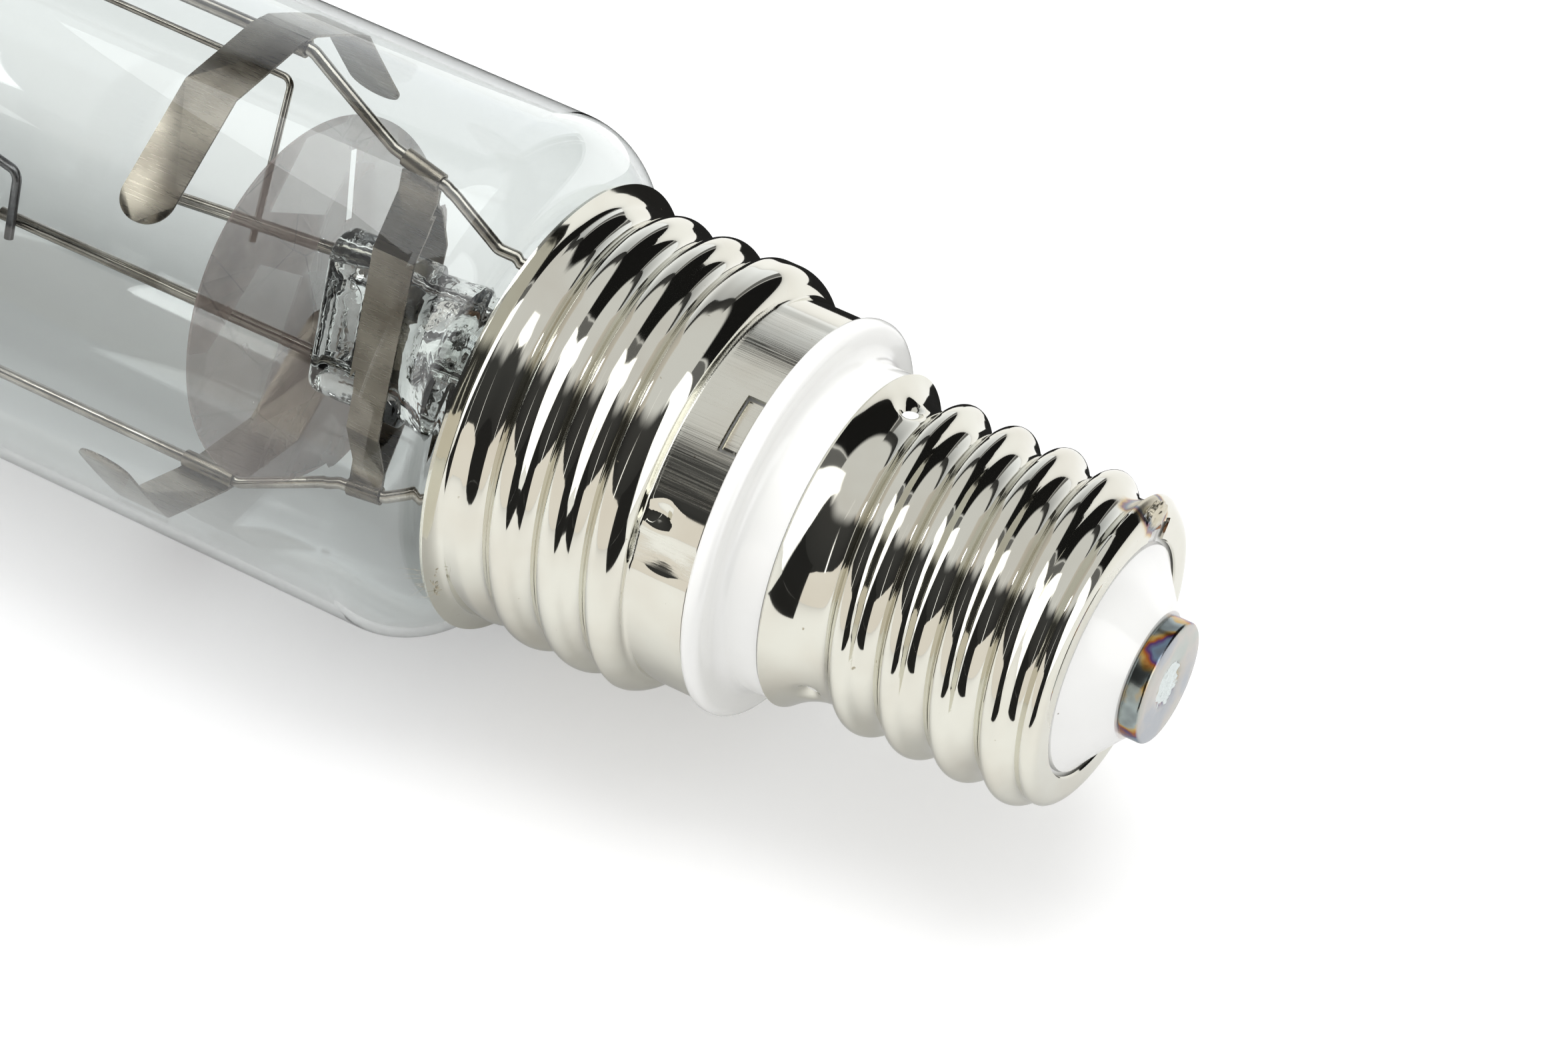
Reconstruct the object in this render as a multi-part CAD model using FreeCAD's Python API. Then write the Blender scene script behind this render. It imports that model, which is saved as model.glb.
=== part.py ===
"""Tubular metal halide lamp with a screw cap and a threaded metal skirt.

Millimetres. +X runs along the lamp's axis from the glass dome to the contact pin and +Z is up.
The origin is on the axis, at the open mouth of the screw shell.
Azimuths about the axis are measured from +Z towards -Y.
Pieces inside the bulb are drawn with the frame's legs in the XZ plane and then turned to
frame_azimuth. In that plane a point has a height s along +Z and a depth n along -Y.
"""
import FreeCAD
import Part
import math
import os

V = FreeCAD.Vector
ORIGIN = V(0, 0, 0)
AXIS = V(1, 0, 0)

# Overall
lamp_length = 380.0
seat = 0.05                 # clearance between pieces that seat on each other

# Round thread shared by the screw shell and the skirt
thread_pitch = 6.35
thread_depth = 1.7
sheet = 0.5                 # sheet metal of the shell and the skirt

# Screw shell
shell_crest_radius = 19.58
shell_mouth_step = 0.77     # mouth outside the crests
shell_mouth_length = 1.9
shell_mouth_taper = 0.3
shell_length = 33.6
shell_end_flange = 5.28     # from the crests in to the opening at the end
shell_end_bend = 1.8
shell_run_out = 1.0         # from the last root to the bend, at least
shell_crest_x = 8.1         # first crest
notch_width = 4.6
notch_depth = 2.4
notch_azimuth = -38.0

# Threaded skirt
skirt_length = 31.5
skirt_lip_step = 1.45       # lip outside the crests
skirt_lip_flare = 2.3
skirt_band_step = 0.9       # band inside the crests
skirt_band_length = 2.2
skirt_bulge_step = 0.6      # bulge inside the crests
skirt_bulge_length = 2.0    # from the last crest to the bulge, at least
skirt_collar_length = 8.0
skirt_collar_step = 1.6
collar_drop = 2.1           # collar inside the bulge

# Window in the collar, and the tab in it that locks the skirt to the insulator
window_azimuth = 21.0
window_width = 7.6
window_height = 2.5
tab_gap = 0.35
tab_thickness = 0.35

# Insulator, one moulding: spigot, flange, neck, sleeve and end cone
neck_inset = 0.35           # neck inside the mouth of the shell
neck_length = 5.6           # between the flange and the mouth of the shell
neck_corner = 1.6
flange_step = 4.3           # flange outside the neck
flange_lip = 0.8            # flange outside the collar
flange_thickness = 2.5
flange_round = 1.1
spigot_length = 8.5
sleeve_wall = 4.6
cone_height = 4.9
plug_thickness = 8.0
lead_slot_width = 3.8

# Contact pin, a rivet through the end cone
pin_radius = 7.3
pin_thickness = 2.6
pin_edge = 0.35
shank_radius = 2.6
shank_bore = 0.75

# Outer bulb
bulb_radius = 32.5
bulb_wall = 1.2
shoulder_radius = 9.0
shoulder_gap = 10.55        # from the skirt's rim to where the shoulder starts
neck_fillet = 3.0
neck_wall = 1.5
neck_gap = 0.7              # between the neck and the spigot

# Packing tape between the neck and the skirt
packing_length = 20.0
packing_thickness = 0.5
packing_inset = 1.2         # inside the skirt's rim

# Stem: flared foot, tube and press, with the exhaust tube inside
press_half_width = 10.6
press_half_thickness = 3.5
press_length = 12.5
press_fillet = 1.1
press_flat = 0.4            # what the rounded sides leave flat
press_blend = 7.0           # from the press to the round tube
press_set = 0.3             # the blend starts this far inside the press
oval_steps = 16
stem_tube_radius = 9.6
stem_tube_length = 5.0
stem_wall = 1.4
flare_inset = 1.3           # the flare meets the neck this far inside its end
flare_sag = 0.34            # how far the flare has opened half way
exhaust_radius = 3.6
exhaust_bore = 2.6
exhaust_reach = 10.3        # how far the exhaust tube stands out of the neck
exhaust_hole = 1.2
dimple_length = 12.6
dimple_width = 4.0
dimple_depth = 0.8
dimple_inset = 1.6

# Mica disc
mica_gap = 22.2             # from where the shoulder starts to the disc
mica_edge_gap = 8.6         # from the glass to its edge
mica_thickness = 0.35
mica_lean = 9.6
mica_lean_azimuth = 50.0    # where its edge leans farthest from the cap
mica_press_gap = 1.85
mica_slot_length = 9.0
mica_slot_width = 1.4
mica_slot_inset = 4.7       # from the disc's edge
mica_slot_offset = 4.0

# Rods and wires in the bulb. Places along the lamp are from the mica disc, towards the cap.
frame_azimuth = -22.0
frame_wire = 0.75           # radius
frame_gap = 2.5             # between the glass and the middle of a leg
frame_shift = 0.9           # the frame stands this far off the axis
frame_bend = 2.2
dome_gap = 39.3             # from the dome's tip to where the legs turn in
lead_rod = 0.8
rod_clearance = 0.15
short_rod_tip = (-20.8, 5.05)
long_rod_tip = (-44.8, -6.9)
short_rod_root = 8.0
long_rod_root = -6.5
rod_root = 8.4
lead_in = 0.5
lead_spread = 0.86          # the leads close in to this share behind the press
lead_turn = 8.0             # from the press's root to the first bend
lead_room = 3.7             # between the leads and the insulator's bore
return_wire_radius = 0.45
return_wire_height = 23.5
return_wire_azimuth = -28.0
return_wire_place = -14.7
return_wire_slant = 3.8     # from there back to the short rod
return_wire_lap = 2.4       # how far it laps past the rod

# Straps and springs of thin strip
strip = 0.3
strap_width = 5.2
strap_place = 10.5
strap_ear = 2.6             # flat run beside a leg
strap_edge = 1.2            # fold outside the glass that it holds
clasp_gap = 0.08
spring_width = 7.0
spring_place = -10.7
spring_far_gap = 9.0        # from where the legs turn in
spring_flat = 3.0           # degrees
spring_crease = 27.0
spring_reach = 60.0
spring_lift = 1.0           # the wing's tip off the glass
spring_tip = 3.3

# Arc tube, between the long rod and the dome
arc_radius = 13.0
arc_wall = 1.8
arc_near_gap = 10.1         # from the long rod's tip to the near pinch
arc_far_gap = 28.7          # from the far pinch to where the legs turn in
pinch_length = 22.0
pinch_half_width = 7.5
pinch_half_thickness = 2.1
pinch_root = 7.8            # how far a pinch reaches into the round body
electrode_radius = 0.6
electrode_length = 17.0
electrode_reach = 12.0      # from the end of the body in to the tip
coil_radius = 1.7
coil_length = 6.0
coil_inset = 1.2
foil_length = 13.0
foil_width = 3.0
foil_thickness = 0.1
pinch_lead = 0.6
pinch_lead_depth = 7.0
pinch_lead_turn = 2.4       # where the near lead crosses the long rod, from its tip
pinch_lead_slant = 5.0
far_wire_gap = 7.0          # from the far pinch to the return wire's crossing
wire_end = 2.0

# Getter strip on the frame
getter_length = 14.0
getter_width = 5.0
getter_thickness = 0.8
getter_gap = 24.0           # from where the legs turn in

# Radii worked out from the sizes above
shell_mouth_radius = shell_crest_radius + shell_mouth_step
shell_opening_radius = shell_crest_radius - shell_end_flange
neck_radius = shell_mouth_radius - neck_inset
flange_radius = neck_radius + flange_step
skirt_collar_radius = flange_radius - flange_lip
skirt_bulge_radius = skirt_collar_radius + collar_drop
skirt_crest_radius = skirt_bulge_radius + skirt_bulge_step
neck_outer_radius = (skirt_crest_radius - thread_depth - sheet - seat
                     - packing_thickness - seat)
neck_inner_radius = neck_outer_radius - neck_wall
bulb_inner = bulb_radius - bulb_wall
mica_radius = bulb_inner - mica_edge_gap
sleeve_radius = shell_crest_radius - thread_depth - sheet - seat
sleeve_bore = sleeve_radius - sleeve_wall
lead_run = sleeve_bore - lead_room
frame_run_radius = bulb_inner - frame_gap
clasp_inner = frame_wire + clasp_gap
clasp_outer = clasp_inner + strip

# Places along the lamp worked out from the sizes above
plug_x = shell_length - sheet - seat
plug_back_x = plug_x - plug_thickness
pin_base_x = plug_x + cone_height
pin_face_x = pin_base_x + pin_thickness
dome_tip_x = pin_face_x - lamp_length
flange_front_x = -neck_length
flange_back_x = flange_front_x - flange_thickness
skirt_end_x = flange_back_x - seat
skirt_rim_x = skirt_end_x - skirt_length
neck_end = flange_back_x - spigot_length - neck_gap
flare_end = neck_end - flare_inset
shoulder_start = skirt_rim_x - shoulder_gap
mica_x = shoulder_start - mica_gap
press_end_x = mica_x + mica_press_gap
press_root_x = press_end_x + press_length
frame_turn_x = dome_tip_x + dome_gap
arc_near_x = mica_x + long_rod_tip[0] - arc_near_gap - pinch_length
arc_far_x = frame_turn_x + arc_far_gap + pinch_length
arc_x = (arc_near_x + arc_far_x) / 2
arc_half = (arc_near_x - arc_far_x) / 2
far_wire_x = arc_far_x - pinch_length - far_wire_gap

# Leg of the frame: x, distance from the axis, share of frame_shift
leg_stations = (
    (mica_x + 39.4, neck_inner_radius - 6.7, 0.0),
    (mica_x + 22.0, neck_inner_radius - 5.9, 0.0),
    (mica_x + 13.8, bulb_inner - 10.6, 0.1),
    (mica_x + 6.2, bulb_inner - 9.0, 0.4),
    (mica_x - 6.4, frame_run_radius, 1.0),
    (frame_turn_x, frame_run_radius, 1.0),
    (frame_turn_x - 18.0, bulb_inner - 14.3, 1.0),
    (frame_turn_x - 24.0, bulb_inner - 25.3, 1.0),
)


def ring_at(x, azimuth, radius):
    """Point at a distance from the axis, at an azimuth."""
    a = math.radians(azimuth)
    return V(x, -radius * math.sin(a), radius * math.cos(a))


def at(x, s, n=0.0):
    """Point in the frame's own plane."""
    return V(x, -n, s)


def outline_edges(outline):
    """Edges through points (x, r) and arcs ((mid), (end))."""
    edges = []
    last = V(outline[0][0], 0, outline[0][1])
    for item in outline[1:]:
        if isinstance(item[0], tuple):
            middle = V(item[0][0], 0, item[0][1])
            end = V(item[1][0], 0, item[1][1])
            edges.append(Part.Arc(last, middle, end).toShape())
        else:
            end = V(item[0], 0, item[1])
            edges.append(Part.makeLine(last, end))
        last = end
    return edges


def turned(outline):
    """Solid of revolution about the lamp's axis from a closed outline."""
    closed = outline + [outline[0]]
    return Part.Face(Part.Wire(outline_edges(closed))).revolve(ORIGIN, AXIS, 360)


def turned_sheet(outline):
    """Sheet of even thickness turned about the axis, with the outline as its outer face."""
    face = Part.Wire(outline_edges(outline)).makeOffset2D(-sheet, fill=True, openResult=True)
    return face.revolve(ORIGIN, AXIS, 360)


def ease(start, end):
    """Two tangent arcs between two places of an outline that both run along the axis there."""
    across = (end[0] - start[0]) / 2
    rise = (end[1] - start[1]) / 2
    radius = (across ** 2 + rise ** 2) / (2 * abs(rise))
    half_turn = math.asin(across / radius) / 2
    dx = radius * math.sin(half_turn)
    dr = math.copysign(radius * (1 - math.cos(half_turn)), rise)
    middle = (start[0] + across, start[1] + rise)
    return [((start[0] + dx, start[1] + dr), middle), ((end[0] - dx, end[1] - dr), end)]


def ridges(first_x, crest_radius, count):
    """Outline from one crest of the round thread to the last, by way of the roots."""
    arcs = []
    for i in range(count - 1):
        crest = (first_x + i * thread_pitch, crest_radius)
        root = (crest[0] + thread_pitch / 2, crest_radius - thread_depth)
        arcs += ease(crest, root) + ease(root, (crest[0] + thread_pitch, crest_radius))
    return arcs


def bar(start, end, radius):
    """Straight round bar between two points."""
    way = end - start
    return Part.makeCylinder(radius, way.Length, start, way)


def rounded_path(points, bend):
    """Straight runs through the points, joined by tangent arcs of one radius."""
    edges = []
    last = points[0]
    for before, corner, after in zip(points, points[1:], points[2:]):
        back = (before - corner).normalize()
        ahead = (after - corner).normalize()
        half = back.getAngle(ahead) / 2
        room = 0.45 * min((before - corner).Length, (after - corner).Length)
        cut = min(bend / math.tan(half), room)
        start = corner + back * cut
        end = corner + ahead * cut
        bisector = (back + ahead).normalize()
        radius = cut * math.tan(half)
        middle = corner + bisector * (math.hypot(cut, radius) - radius)
        edges.append(Part.makeLine(last, start))
        edges.append(Part.Arc(start, middle, end).toShape())
        last = end
    edges.append(Part.makeLine(last, points[-1]))
    return Part.Wire(edges)


def bent_rod(points, radius, bend):
    """Round rod bent along a route."""
    path = rounded_path(points, bend)
    way = points[1] - points[0]
    profile = Part.Wire(Part.makeCircle(radius, points[0], way))
    return path.makePipeShell([profile], True, True)


def oval(x, half_width, half_thickness):
    """Closed oval section across the axis."""
    points = []
    for i in range(oval_steps):
        a = 2 * math.pi * i / oval_steps
        points.append(at(x, half_width * math.cos(a), half_thickness * math.sin(a)))
    curve = Part.BSplineCurve()
    curve.interpolate(Points=points, PeriodicFlag=True)
    return Part.Wire(curve.toShape())


def thickened(path):
    """Outline of a strip of even thickness along a polyline of (s, n) points."""
    left = []
    right = []
    for i, (s, n) in enumerate(path):
        before = path[max(i - 1, 0)]
        after = path[min(i + 1, len(path) - 1)]
        first = V(s - before[0], n - before[1], 0)
        second = V(after[0] - s, after[1] - n, 0)
        if i == 0:
            first = second
        if i == len(path) - 1:
            second = first
        first.normalize()
        second.normalize()
        mitre = (first + second).normalize()
        reach = strip / 2 / mitre.dot(second)
        left.append((s - mitre.y * reach, n + mitre.x * reach))
        right.append((s + mitre.y * reach, n - mitre.x * reach))
    return left + right[::-1]


def folded_strip(path, width, x):
    """Strip of thin sheet folded along a path across the axis, with its width along the axis."""
    corners = [at(x - width / 2, s, n) for s, n in thickened(path)]
    return Part.Face(Part.makePolygon(corners + corners[:1])).extrude(V(width, 0, 0))


def make_screw_shell():
    """Thin screw shell, with the inward flange at its end and the notch for the side lead."""
    root_radius = shell_crest_radius - thread_depth
    mouth_end = (shell_mouth_length, shell_mouth_radius - shell_mouth_taper)
    first_root = (shell_crest_x - thread_pitch / 2, root_radius)
    bend_x = shell_length - shell_end_bend
    room = bend_x - shell_run_out - thread_pitch / 2 - shell_crest_x
    crests = int(room / thread_pitch) + 1
    last_crest_x = shell_crest_x + (crests - 1) * thread_pitch
    last_root = (last_crest_x + thread_pitch / 2, root_radius)
    shoulder = root_radius + thread_depth / 2
    cut = shell_end_bend * (1 - math.sqrt(0.5))
    shell = turned_sheet(
        [(0, shell_mouth_radius), mouth_end]
        + ease(mouth_end, first_root)
        + ease(first_root, (shell_crest_x, shell_crest_radius))
        + ridges(shell_crest_x, shell_crest_radius, crests)
        + ease((last_crest_x, shell_crest_radius), last_root)
        + ease(last_root, (bend_x, shoulder))
        + [((shell_length - cut, shoulder - cut), (shell_length, shoulder - shell_end_bend)),
           (shell_length, shell_opening_radius)])
    notch = Part.makeBox(2 * sheet, notch_width, 2 * notch_depth,
                         V(shell_length - 1.5 * sheet, -notch_width / 2,
                           shell_opening_radius - notch_depth))
    notch.rotate(ORIGIN, AXIS, notch_azimuth)
    return shell.cut(notch)


def skirt_sheet():
    """Skirt with a flared lip, a band, ridges, a bulge and the collar on the insulator."""
    band_x = skirt_rim_x + skirt_lip_flare
    band_radius = skirt_crest_radius - skirt_band_step
    lip_radius = skirt_crest_radius + skirt_lip_step
    band_end = (band_x + skirt_band_length, band_radius)
    first_crest_x = band_end[0] + thread_pitch / 4
    collar_x = skirt_end_x - skirt_collar_length
    bulge_end = (collar_x - skirt_collar_step, skirt_bulge_radius)
    room = bulge_end[0] - skirt_bulge_length - first_crest_x
    crests = int(room / thread_pitch) + 1
    last_crest_x = first_crest_x + (crests - 1) * thread_pitch
    flare = ((skirt_rim_x + 0.35 * skirt_lip_flare, band_radius + 0.42 * (lip_radius - band_radius)),
             (band_x, band_radius))
    return turned_sheet(
        [(skirt_rim_x, lip_radius), flare, band_end]
        + ease(band_end, (first_crest_x, skirt_crest_radius))
        + ridges(first_crest_x, skirt_crest_radius, crests)
        + ease((last_crest_x, skirt_crest_radius), bulge_end)
        + ease(bulge_end, (collar_x, skirt_collar_radius))
        + [(skirt_end_x, skirt_collar_radius)])


def collar_block(width, height, inner, outer):
    """Block across the collar's edge at the window, between two radii."""
    block = Part.makeBox(height + seat, width, outer - inner,
                         V(skirt_end_x - height, -width / 2, inner))
    block.rotate(ORIGIN, AXIS, window_azimuth)
    return block


def make_cap_skirt():
    """Skirt with a window in the collar and the tab in it, bent in on to the insulator."""
    sheet_inner = skirt_collar_radius - sheet
    window = collar_block(window_width, window_height, sheet_inner - 1.0, skirt_collar_radius + 1.0)
    tab_width = window_width - 2 * tab_gap
    corner = math.hypot(sheet_inner + tab_thickness, tab_width / 2)
    ring = turned([(skirt_end_x - window_height - seat, sheet_inner),
                   (skirt_end_x - window_height - seat, corner),
                   (skirt_end_x, corner), (skirt_end_x, sheet_inner)])
    tab = ring.common(collar_block(tab_width, window_height + 2 * seat, sheet_inner - 1.0,
                                   sheet_inner + tab_thickness))
    return skirt_sheet().cut(window).fuse(tab)


def make_insulator():
    """White moulding: spigot in the skirt, flange, neck, sleeve in the shell and end cone."""
    spigot = skirt_collar_radius - sheet - seat
    cone_foot = shell_opening_radius - sheet - seat
    back_x = flange_back_x - spigot_length
    k = flange_round * (1 - math.sqrt(0.5))
    small = neck_corner * (1 - math.sqrt(0.5))
    body = turned([
        (back_x, sleeve_bore),
        (back_x, spigot),
        (flange_back_x, spigot),
        (flange_back_x, flange_radius - flange_round),
        ((flange_back_x + k, flange_radius - k), (flange_back_x + flange_round, flange_radius)),
        (flange_front_x - flange_round, flange_radius),
        ((flange_front_x - k, flange_radius - k), (flange_front_x, flange_radius - flange_round)),
        (flange_front_x, neck_radius + neck_corner),
        ((flange_front_x + small, neck_radius + small),
         (flange_front_x + neck_corner, neck_radius)),
        (-0.4, neck_radius),
        (0.6, sleeve_radius),
        (plug_x - shell_end_bend, sleeve_radius),
        (plug_x, sleeve_radius - shell_end_bend),
        (plug_x, cone_foot),
        (plug_x + sheet, cone_foot),
        (pin_base_x, pin_radius),
        (pin_base_x, 0),
        (plug_back_x, 0),
        (plug_back_x, sleeve_bore),
    ])
    hole = bar(V(plug_back_x - 1.0, 0, 0), V(pin_base_x + 1.0, 0, 0), shank_radius + seat)
    reach = shell_opening_radius + notch_depth - 6 * seat
    slot = Part.makeBox(plug_thickness + 2.0, lead_slot_width, reach - sleeve_bore + 2.0,
                        V(plug_back_x - 1.0, -lead_slot_width / 2, sleeve_bore - 2.0))
    slot.rotate(ORIGIN, AXIS, notch_azimuth)
    return body.cut(hole).cut(slot)


def make_contact_pin():
    """Steel rivet: round head with a small edge chamfer, and a hollow shank for the lead."""
    return turned([
        (pin_base_x + seat, shank_radius),
        (pin_base_x + seat, pin_radius),
        (pin_face_x - pin_edge, pin_radius),
        (pin_face_x, pin_radius - pin_edge),
        (pin_face_x, shank_bore),
        (plug_back_x, shank_bore),
        (plug_back_x, shank_radius),
    ])


def make_outer_bulb():
    """Blown tube with a round dome, and a shoulder that draws in to the neck."""
    centre_x = shoulder_start
    centre_r = bulb_radius - shoulder_radius
    fillet_r = neck_outer_radius + neck_fillet
    span = shoulder_radius + neck_fillet
    fillet_x = centre_x + math.sqrt(span ** 2 - (fillet_r - centre_r) ** 2)
    slope = math.atan2(fillet_r - centre_r, fillet_x - centre_x)

    def section(inset, neck_inset):
        big = shoulder_radius - inset
        small = neck_fillet + inset
        join = (centre_x + big * math.cos(slope), centre_r + big * math.sin(slope))
        middle = (math.pi / 2 + slope) / 2
        across = (slope + math.pi + 1.5 * math.pi) / 2
        dome_x = dome_tip_x + bulb_radius
        tip = dome_tip_x + inset
        eighth = (bulb_radius - inset) * math.sqrt(0.5)
        return [
            (tip, 0),
            ((dome_x - eighth, eighth), (dome_x, bulb_radius - inset)),
            (centre_x, bulb_radius - inset),
            ((centre_x + big * math.cos(middle), centre_r + big * math.sin(middle)), join),
            ((fillet_x + small * math.cos(across), fillet_r + small * math.sin(across)),
             (fillet_x, fillet_r - small)),
            (fillet_x + 3.0, neck_outer_radius - neck_inset),
            (neck_end, neck_outer_radius - neck_inset),
            (neck_end, 0),
        ]

    return turned(section(0, 0)).cut(turned(section(bulb_wall, neck_wall)))


def make_packing():
    """Woven tape wound round the neck inside the skirt."""
    inner = neck_outer_radius + seat
    outer = inner + packing_thickness - seat
    start = skirt_rim_x + packing_inset
    return turned([(start, inner), (start, outer), (start + packing_length, outer),
                   (start + packing_length, inner)])


def rod_line(root, tip):
    """Ends of a lead rod, from its root in the press to its tip."""
    return at(mica_x + rod_root, root), at(mica_x + tip[0], tip[1])


def make_stem():
    """Flared glass foot, tube and press, with the rods' holes, the dimples and the exhaust tube."""
    press = Part.makeBox(press_length, 2 * press_half_thickness, 2 * press_half_width,
                         V(press_end_x, -press_half_thickness, -press_half_width))
    long_edges = [e for e in press.Edges if e.BoundBox.XLength > press_length / 2]
    press = press.makeFillet(press_half_thickness - press_flat, long_edges)
    end_edges = [e for e in press.Edges if e.BoundBox.XMax < press_end_x + 0.01]
    press = press.makeFillet(press_fillet, end_edges)
    tube = stem_tube_radius
    foot = neck_inner_radius - seat
    round_x = press_root_x + press_blend
    bend_x = round_x + stem_tube_length
    middle_x = (bend_x + flare_end) / 2
    middle_r = tube + (foot - tube) * flare_sag

    def flare(start_x, inset):
        return turned([
            (start_x, 0),
            (start_x, tube - inset),
            (bend_x, tube - inset),
            ((middle_x + 0.6 * inset, middle_r - 0.8 * inset), (flare_end, foot - inset)),
            (flare_end, 0),
        ])

    blend = Part.makeLoft([
        oval(press_root_x - 1.0, press_half_width - 2 * press_set, press_half_thickness - press_set),
        oval(press_root_x + 0.4 * press_blend, tube + 0.4, tube * 0.6),
        oval(round_x + 1.0, tube - 2 * seat, tube - 2 * seat)], True, False)
    stem = press.fuse(blend).fuse(flare(round_x, 0)).cut(flare(round_x - 1.0, stem_wall))
    tube_x = press_root_x + stem_wall + exhaust_radius
    bore_x = press_root_x + stem_wall + exhaust_hole
    exhaust_tip = neck_end + exhaust_reach
    stem = stem.fuse(bar(V(tube_x, 0, 0), V(exhaust_tip, 0, 0), exhaust_radius))
    stem = stem.cut(bar(V(bore_x, 0, 0), V(exhaust_tip - 2.0, 0, 0), exhaust_bore))
    stem = stem.cut(bar(at(bore_x + 1.0, 0, 0), at(bore_x + 1.0, 0, 1.2 * tube), exhaust_hole))
    for root, tip in ((short_rod_root, short_rod_tip), (long_rod_root, long_rod_tip)):
        start, end = rod_line(root, tip)
        stem = stem.cut(bar(start, end, lead_rod + seat / 2))
        foot = at(press_root_x + lead_turn, root * lead_spread)
        stem = stem.cut(bar(start, foot, lead_in + seat / 2))
    for side in (1, -1):
        depth = press_half_thickness - dimple_depth
        half = (dimple_length - dimple_width) / 2
        start_x = press_end_x + dimple_inset
        dimple = Part.makeBox(dimple_width, dimple_width, 2 * half, V(start_x, 0, -half))
        for end in (half, -half):
            centre = V(start_x + dimple_width / 2, 0, end)
            dimple = dimple.fuse(
                Part.makeCylinder(dimple_width / 2, dimple_width, centre, V(0, 1, 0)))
        dimple.translate(V(0, depth if side > 0 else -depth - dimple_width, 0))
        stem = stem.cut(dimple)
    return stem


def make_mica_disc():
    """Leaning disc of mica, threaded on the lead rods and lying against the press."""
    disc = Part.makeCylinder(mica_radius, mica_thickness, V(-mica_thickness, 0, 0), AXIS)
    slot = Part.makeBox(4.0, mica_slot_width, mica_slot_length,
                        V(-2.0, mica_slot_offset, mica_radius - mica_slot_inset - mica_slot_length))
    disc = disc.cut(slot)
    disc.rotate(ORIGIN, ring_at(0, mica_lean_azimuth + 90, 1), mica_lean)
    disc.translate(V(mica_x, 0, 0))
    for root, tip in ((short_rod_root, short_rod_tip), (long_rod_root, long_rod_tip)):
        start, end = rod_line(root, tip)
        disc = disc.cut(bar(start, end, lead_rod + rod_clearance))
    return disc


def leg_points(side):
    """Route of one leg of the frame, from its free end to the dome."""
    return [at(x, side * s + frame_shift * share) for x, s, share in leg_stations]


def make_frame():
    """One rod bent into a long loop that stands between the stem and the dome."""
    upper = leg_points(1)
    lower = leg_points(-1)
    return bent_rod(upper + lower[::-1], frame_wire, frame_bend)


def leg_height(side, x):
    """Distance of a leg from the axis at a place along it."""
    points = leg_points(side)
    for p, q in zip(points, points[1:]):
        if q.x <= x <= p.x:
            return p.z + (q.z - p.z) * (x - p.x) / (q.x - p.x)
    raise ValueError("no leg at %.1f" % x)


def clasp(side, x, width, radius):
    """Straight sleeve round a leg."""
    start = at(x - width / 2, leg_height(side, x - width / 2))
    end = at(x + width / 2, leg_height(side, x + width / 2))
    return bar(start, end, radius)


def clamp_half(x, half_width, half_thickness, front):
    """One half of a clamp that holds a glass press between the frame's legs.

    The front half closes round both legs. The back half ends flat against it.
    """
    top = leg_height(1, x) - clasp_inner
    low = leg_height(-1, x) + clasp_inner
    flat = strip / 2 + seat / 2
    over = half_thickness + strip / 2 + seat
    edge = half_width + strap_edge
    if front:
        sign = 1
        ends = (top, low)
    else:
        sign = -1
        ends = (top - strip - seat, low + strip + seat)
    path = [(ends[0], sign * flat), (top - strap_ear, sign * flat), (edge, sign * over),
            (-edge, sign * over), (low + strap_ear, sign * flat), (ends[1], sign * flat)]
    band = folded_strip(path, strap_width, x)
    for side in (1, -1):
        if front:
            band = band.fuse(clasp(side, x, strap_width, clasp_outer))
            band = band.cut(bent_rod(leg_points(side), clasp_inner, frame_bend))
        else:
            band = band.cut(clasp(side, x, strap_width + 2 * strip, clasp_outer + seat))
    return band


def make_stem_clamp(front):
    """Clamp round the stem's press."""
    return clamp_half(mica_x + strap_place, press_half_width, press_half_thickness, front)


def make_leaf_spring(side, x):
    """Spring strip closed round a leg, with two wings that press on the glass."""
    leg = abs(leg_height(side, x))
    over = leg + clasp_inner + strip / 2
    touch = bulb_inner - seat - strip
    reach = bulb_inner - strip - spring_lift
    half = [(0, over), (spring_flat, over), (spring_crease, touch), (spring_reach, reach)]
    path = [(-d, r) for d, r in half[:0:-1]] + half[1:]
    points = [(r * math.cos(math.radians(d)), r * math.sin(math.radians(d))) for d, r in path]
    band = folded_strip(points, spring_width, x)
    tips = [edge for edge in band.Edges if abs(edge.Length - strip) < strip / 10]
    band = band.makeFillet(spring_tip, tips)
    sleeve = Part.makeCylinder(clasp_outer, spring_width, V(x - spring_width / 2, 0, leg), AXIS)
    hole = Part.makeCylinder(clasp_inner, spring_width, V(x - spring_width / 2, 0, leg), AXIS)
    spring = band.fuse(sleeve).cut(hole)
    if side < 0:
        spring.rotate(ORIGIN, AXIS, 180)
    return spring


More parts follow.
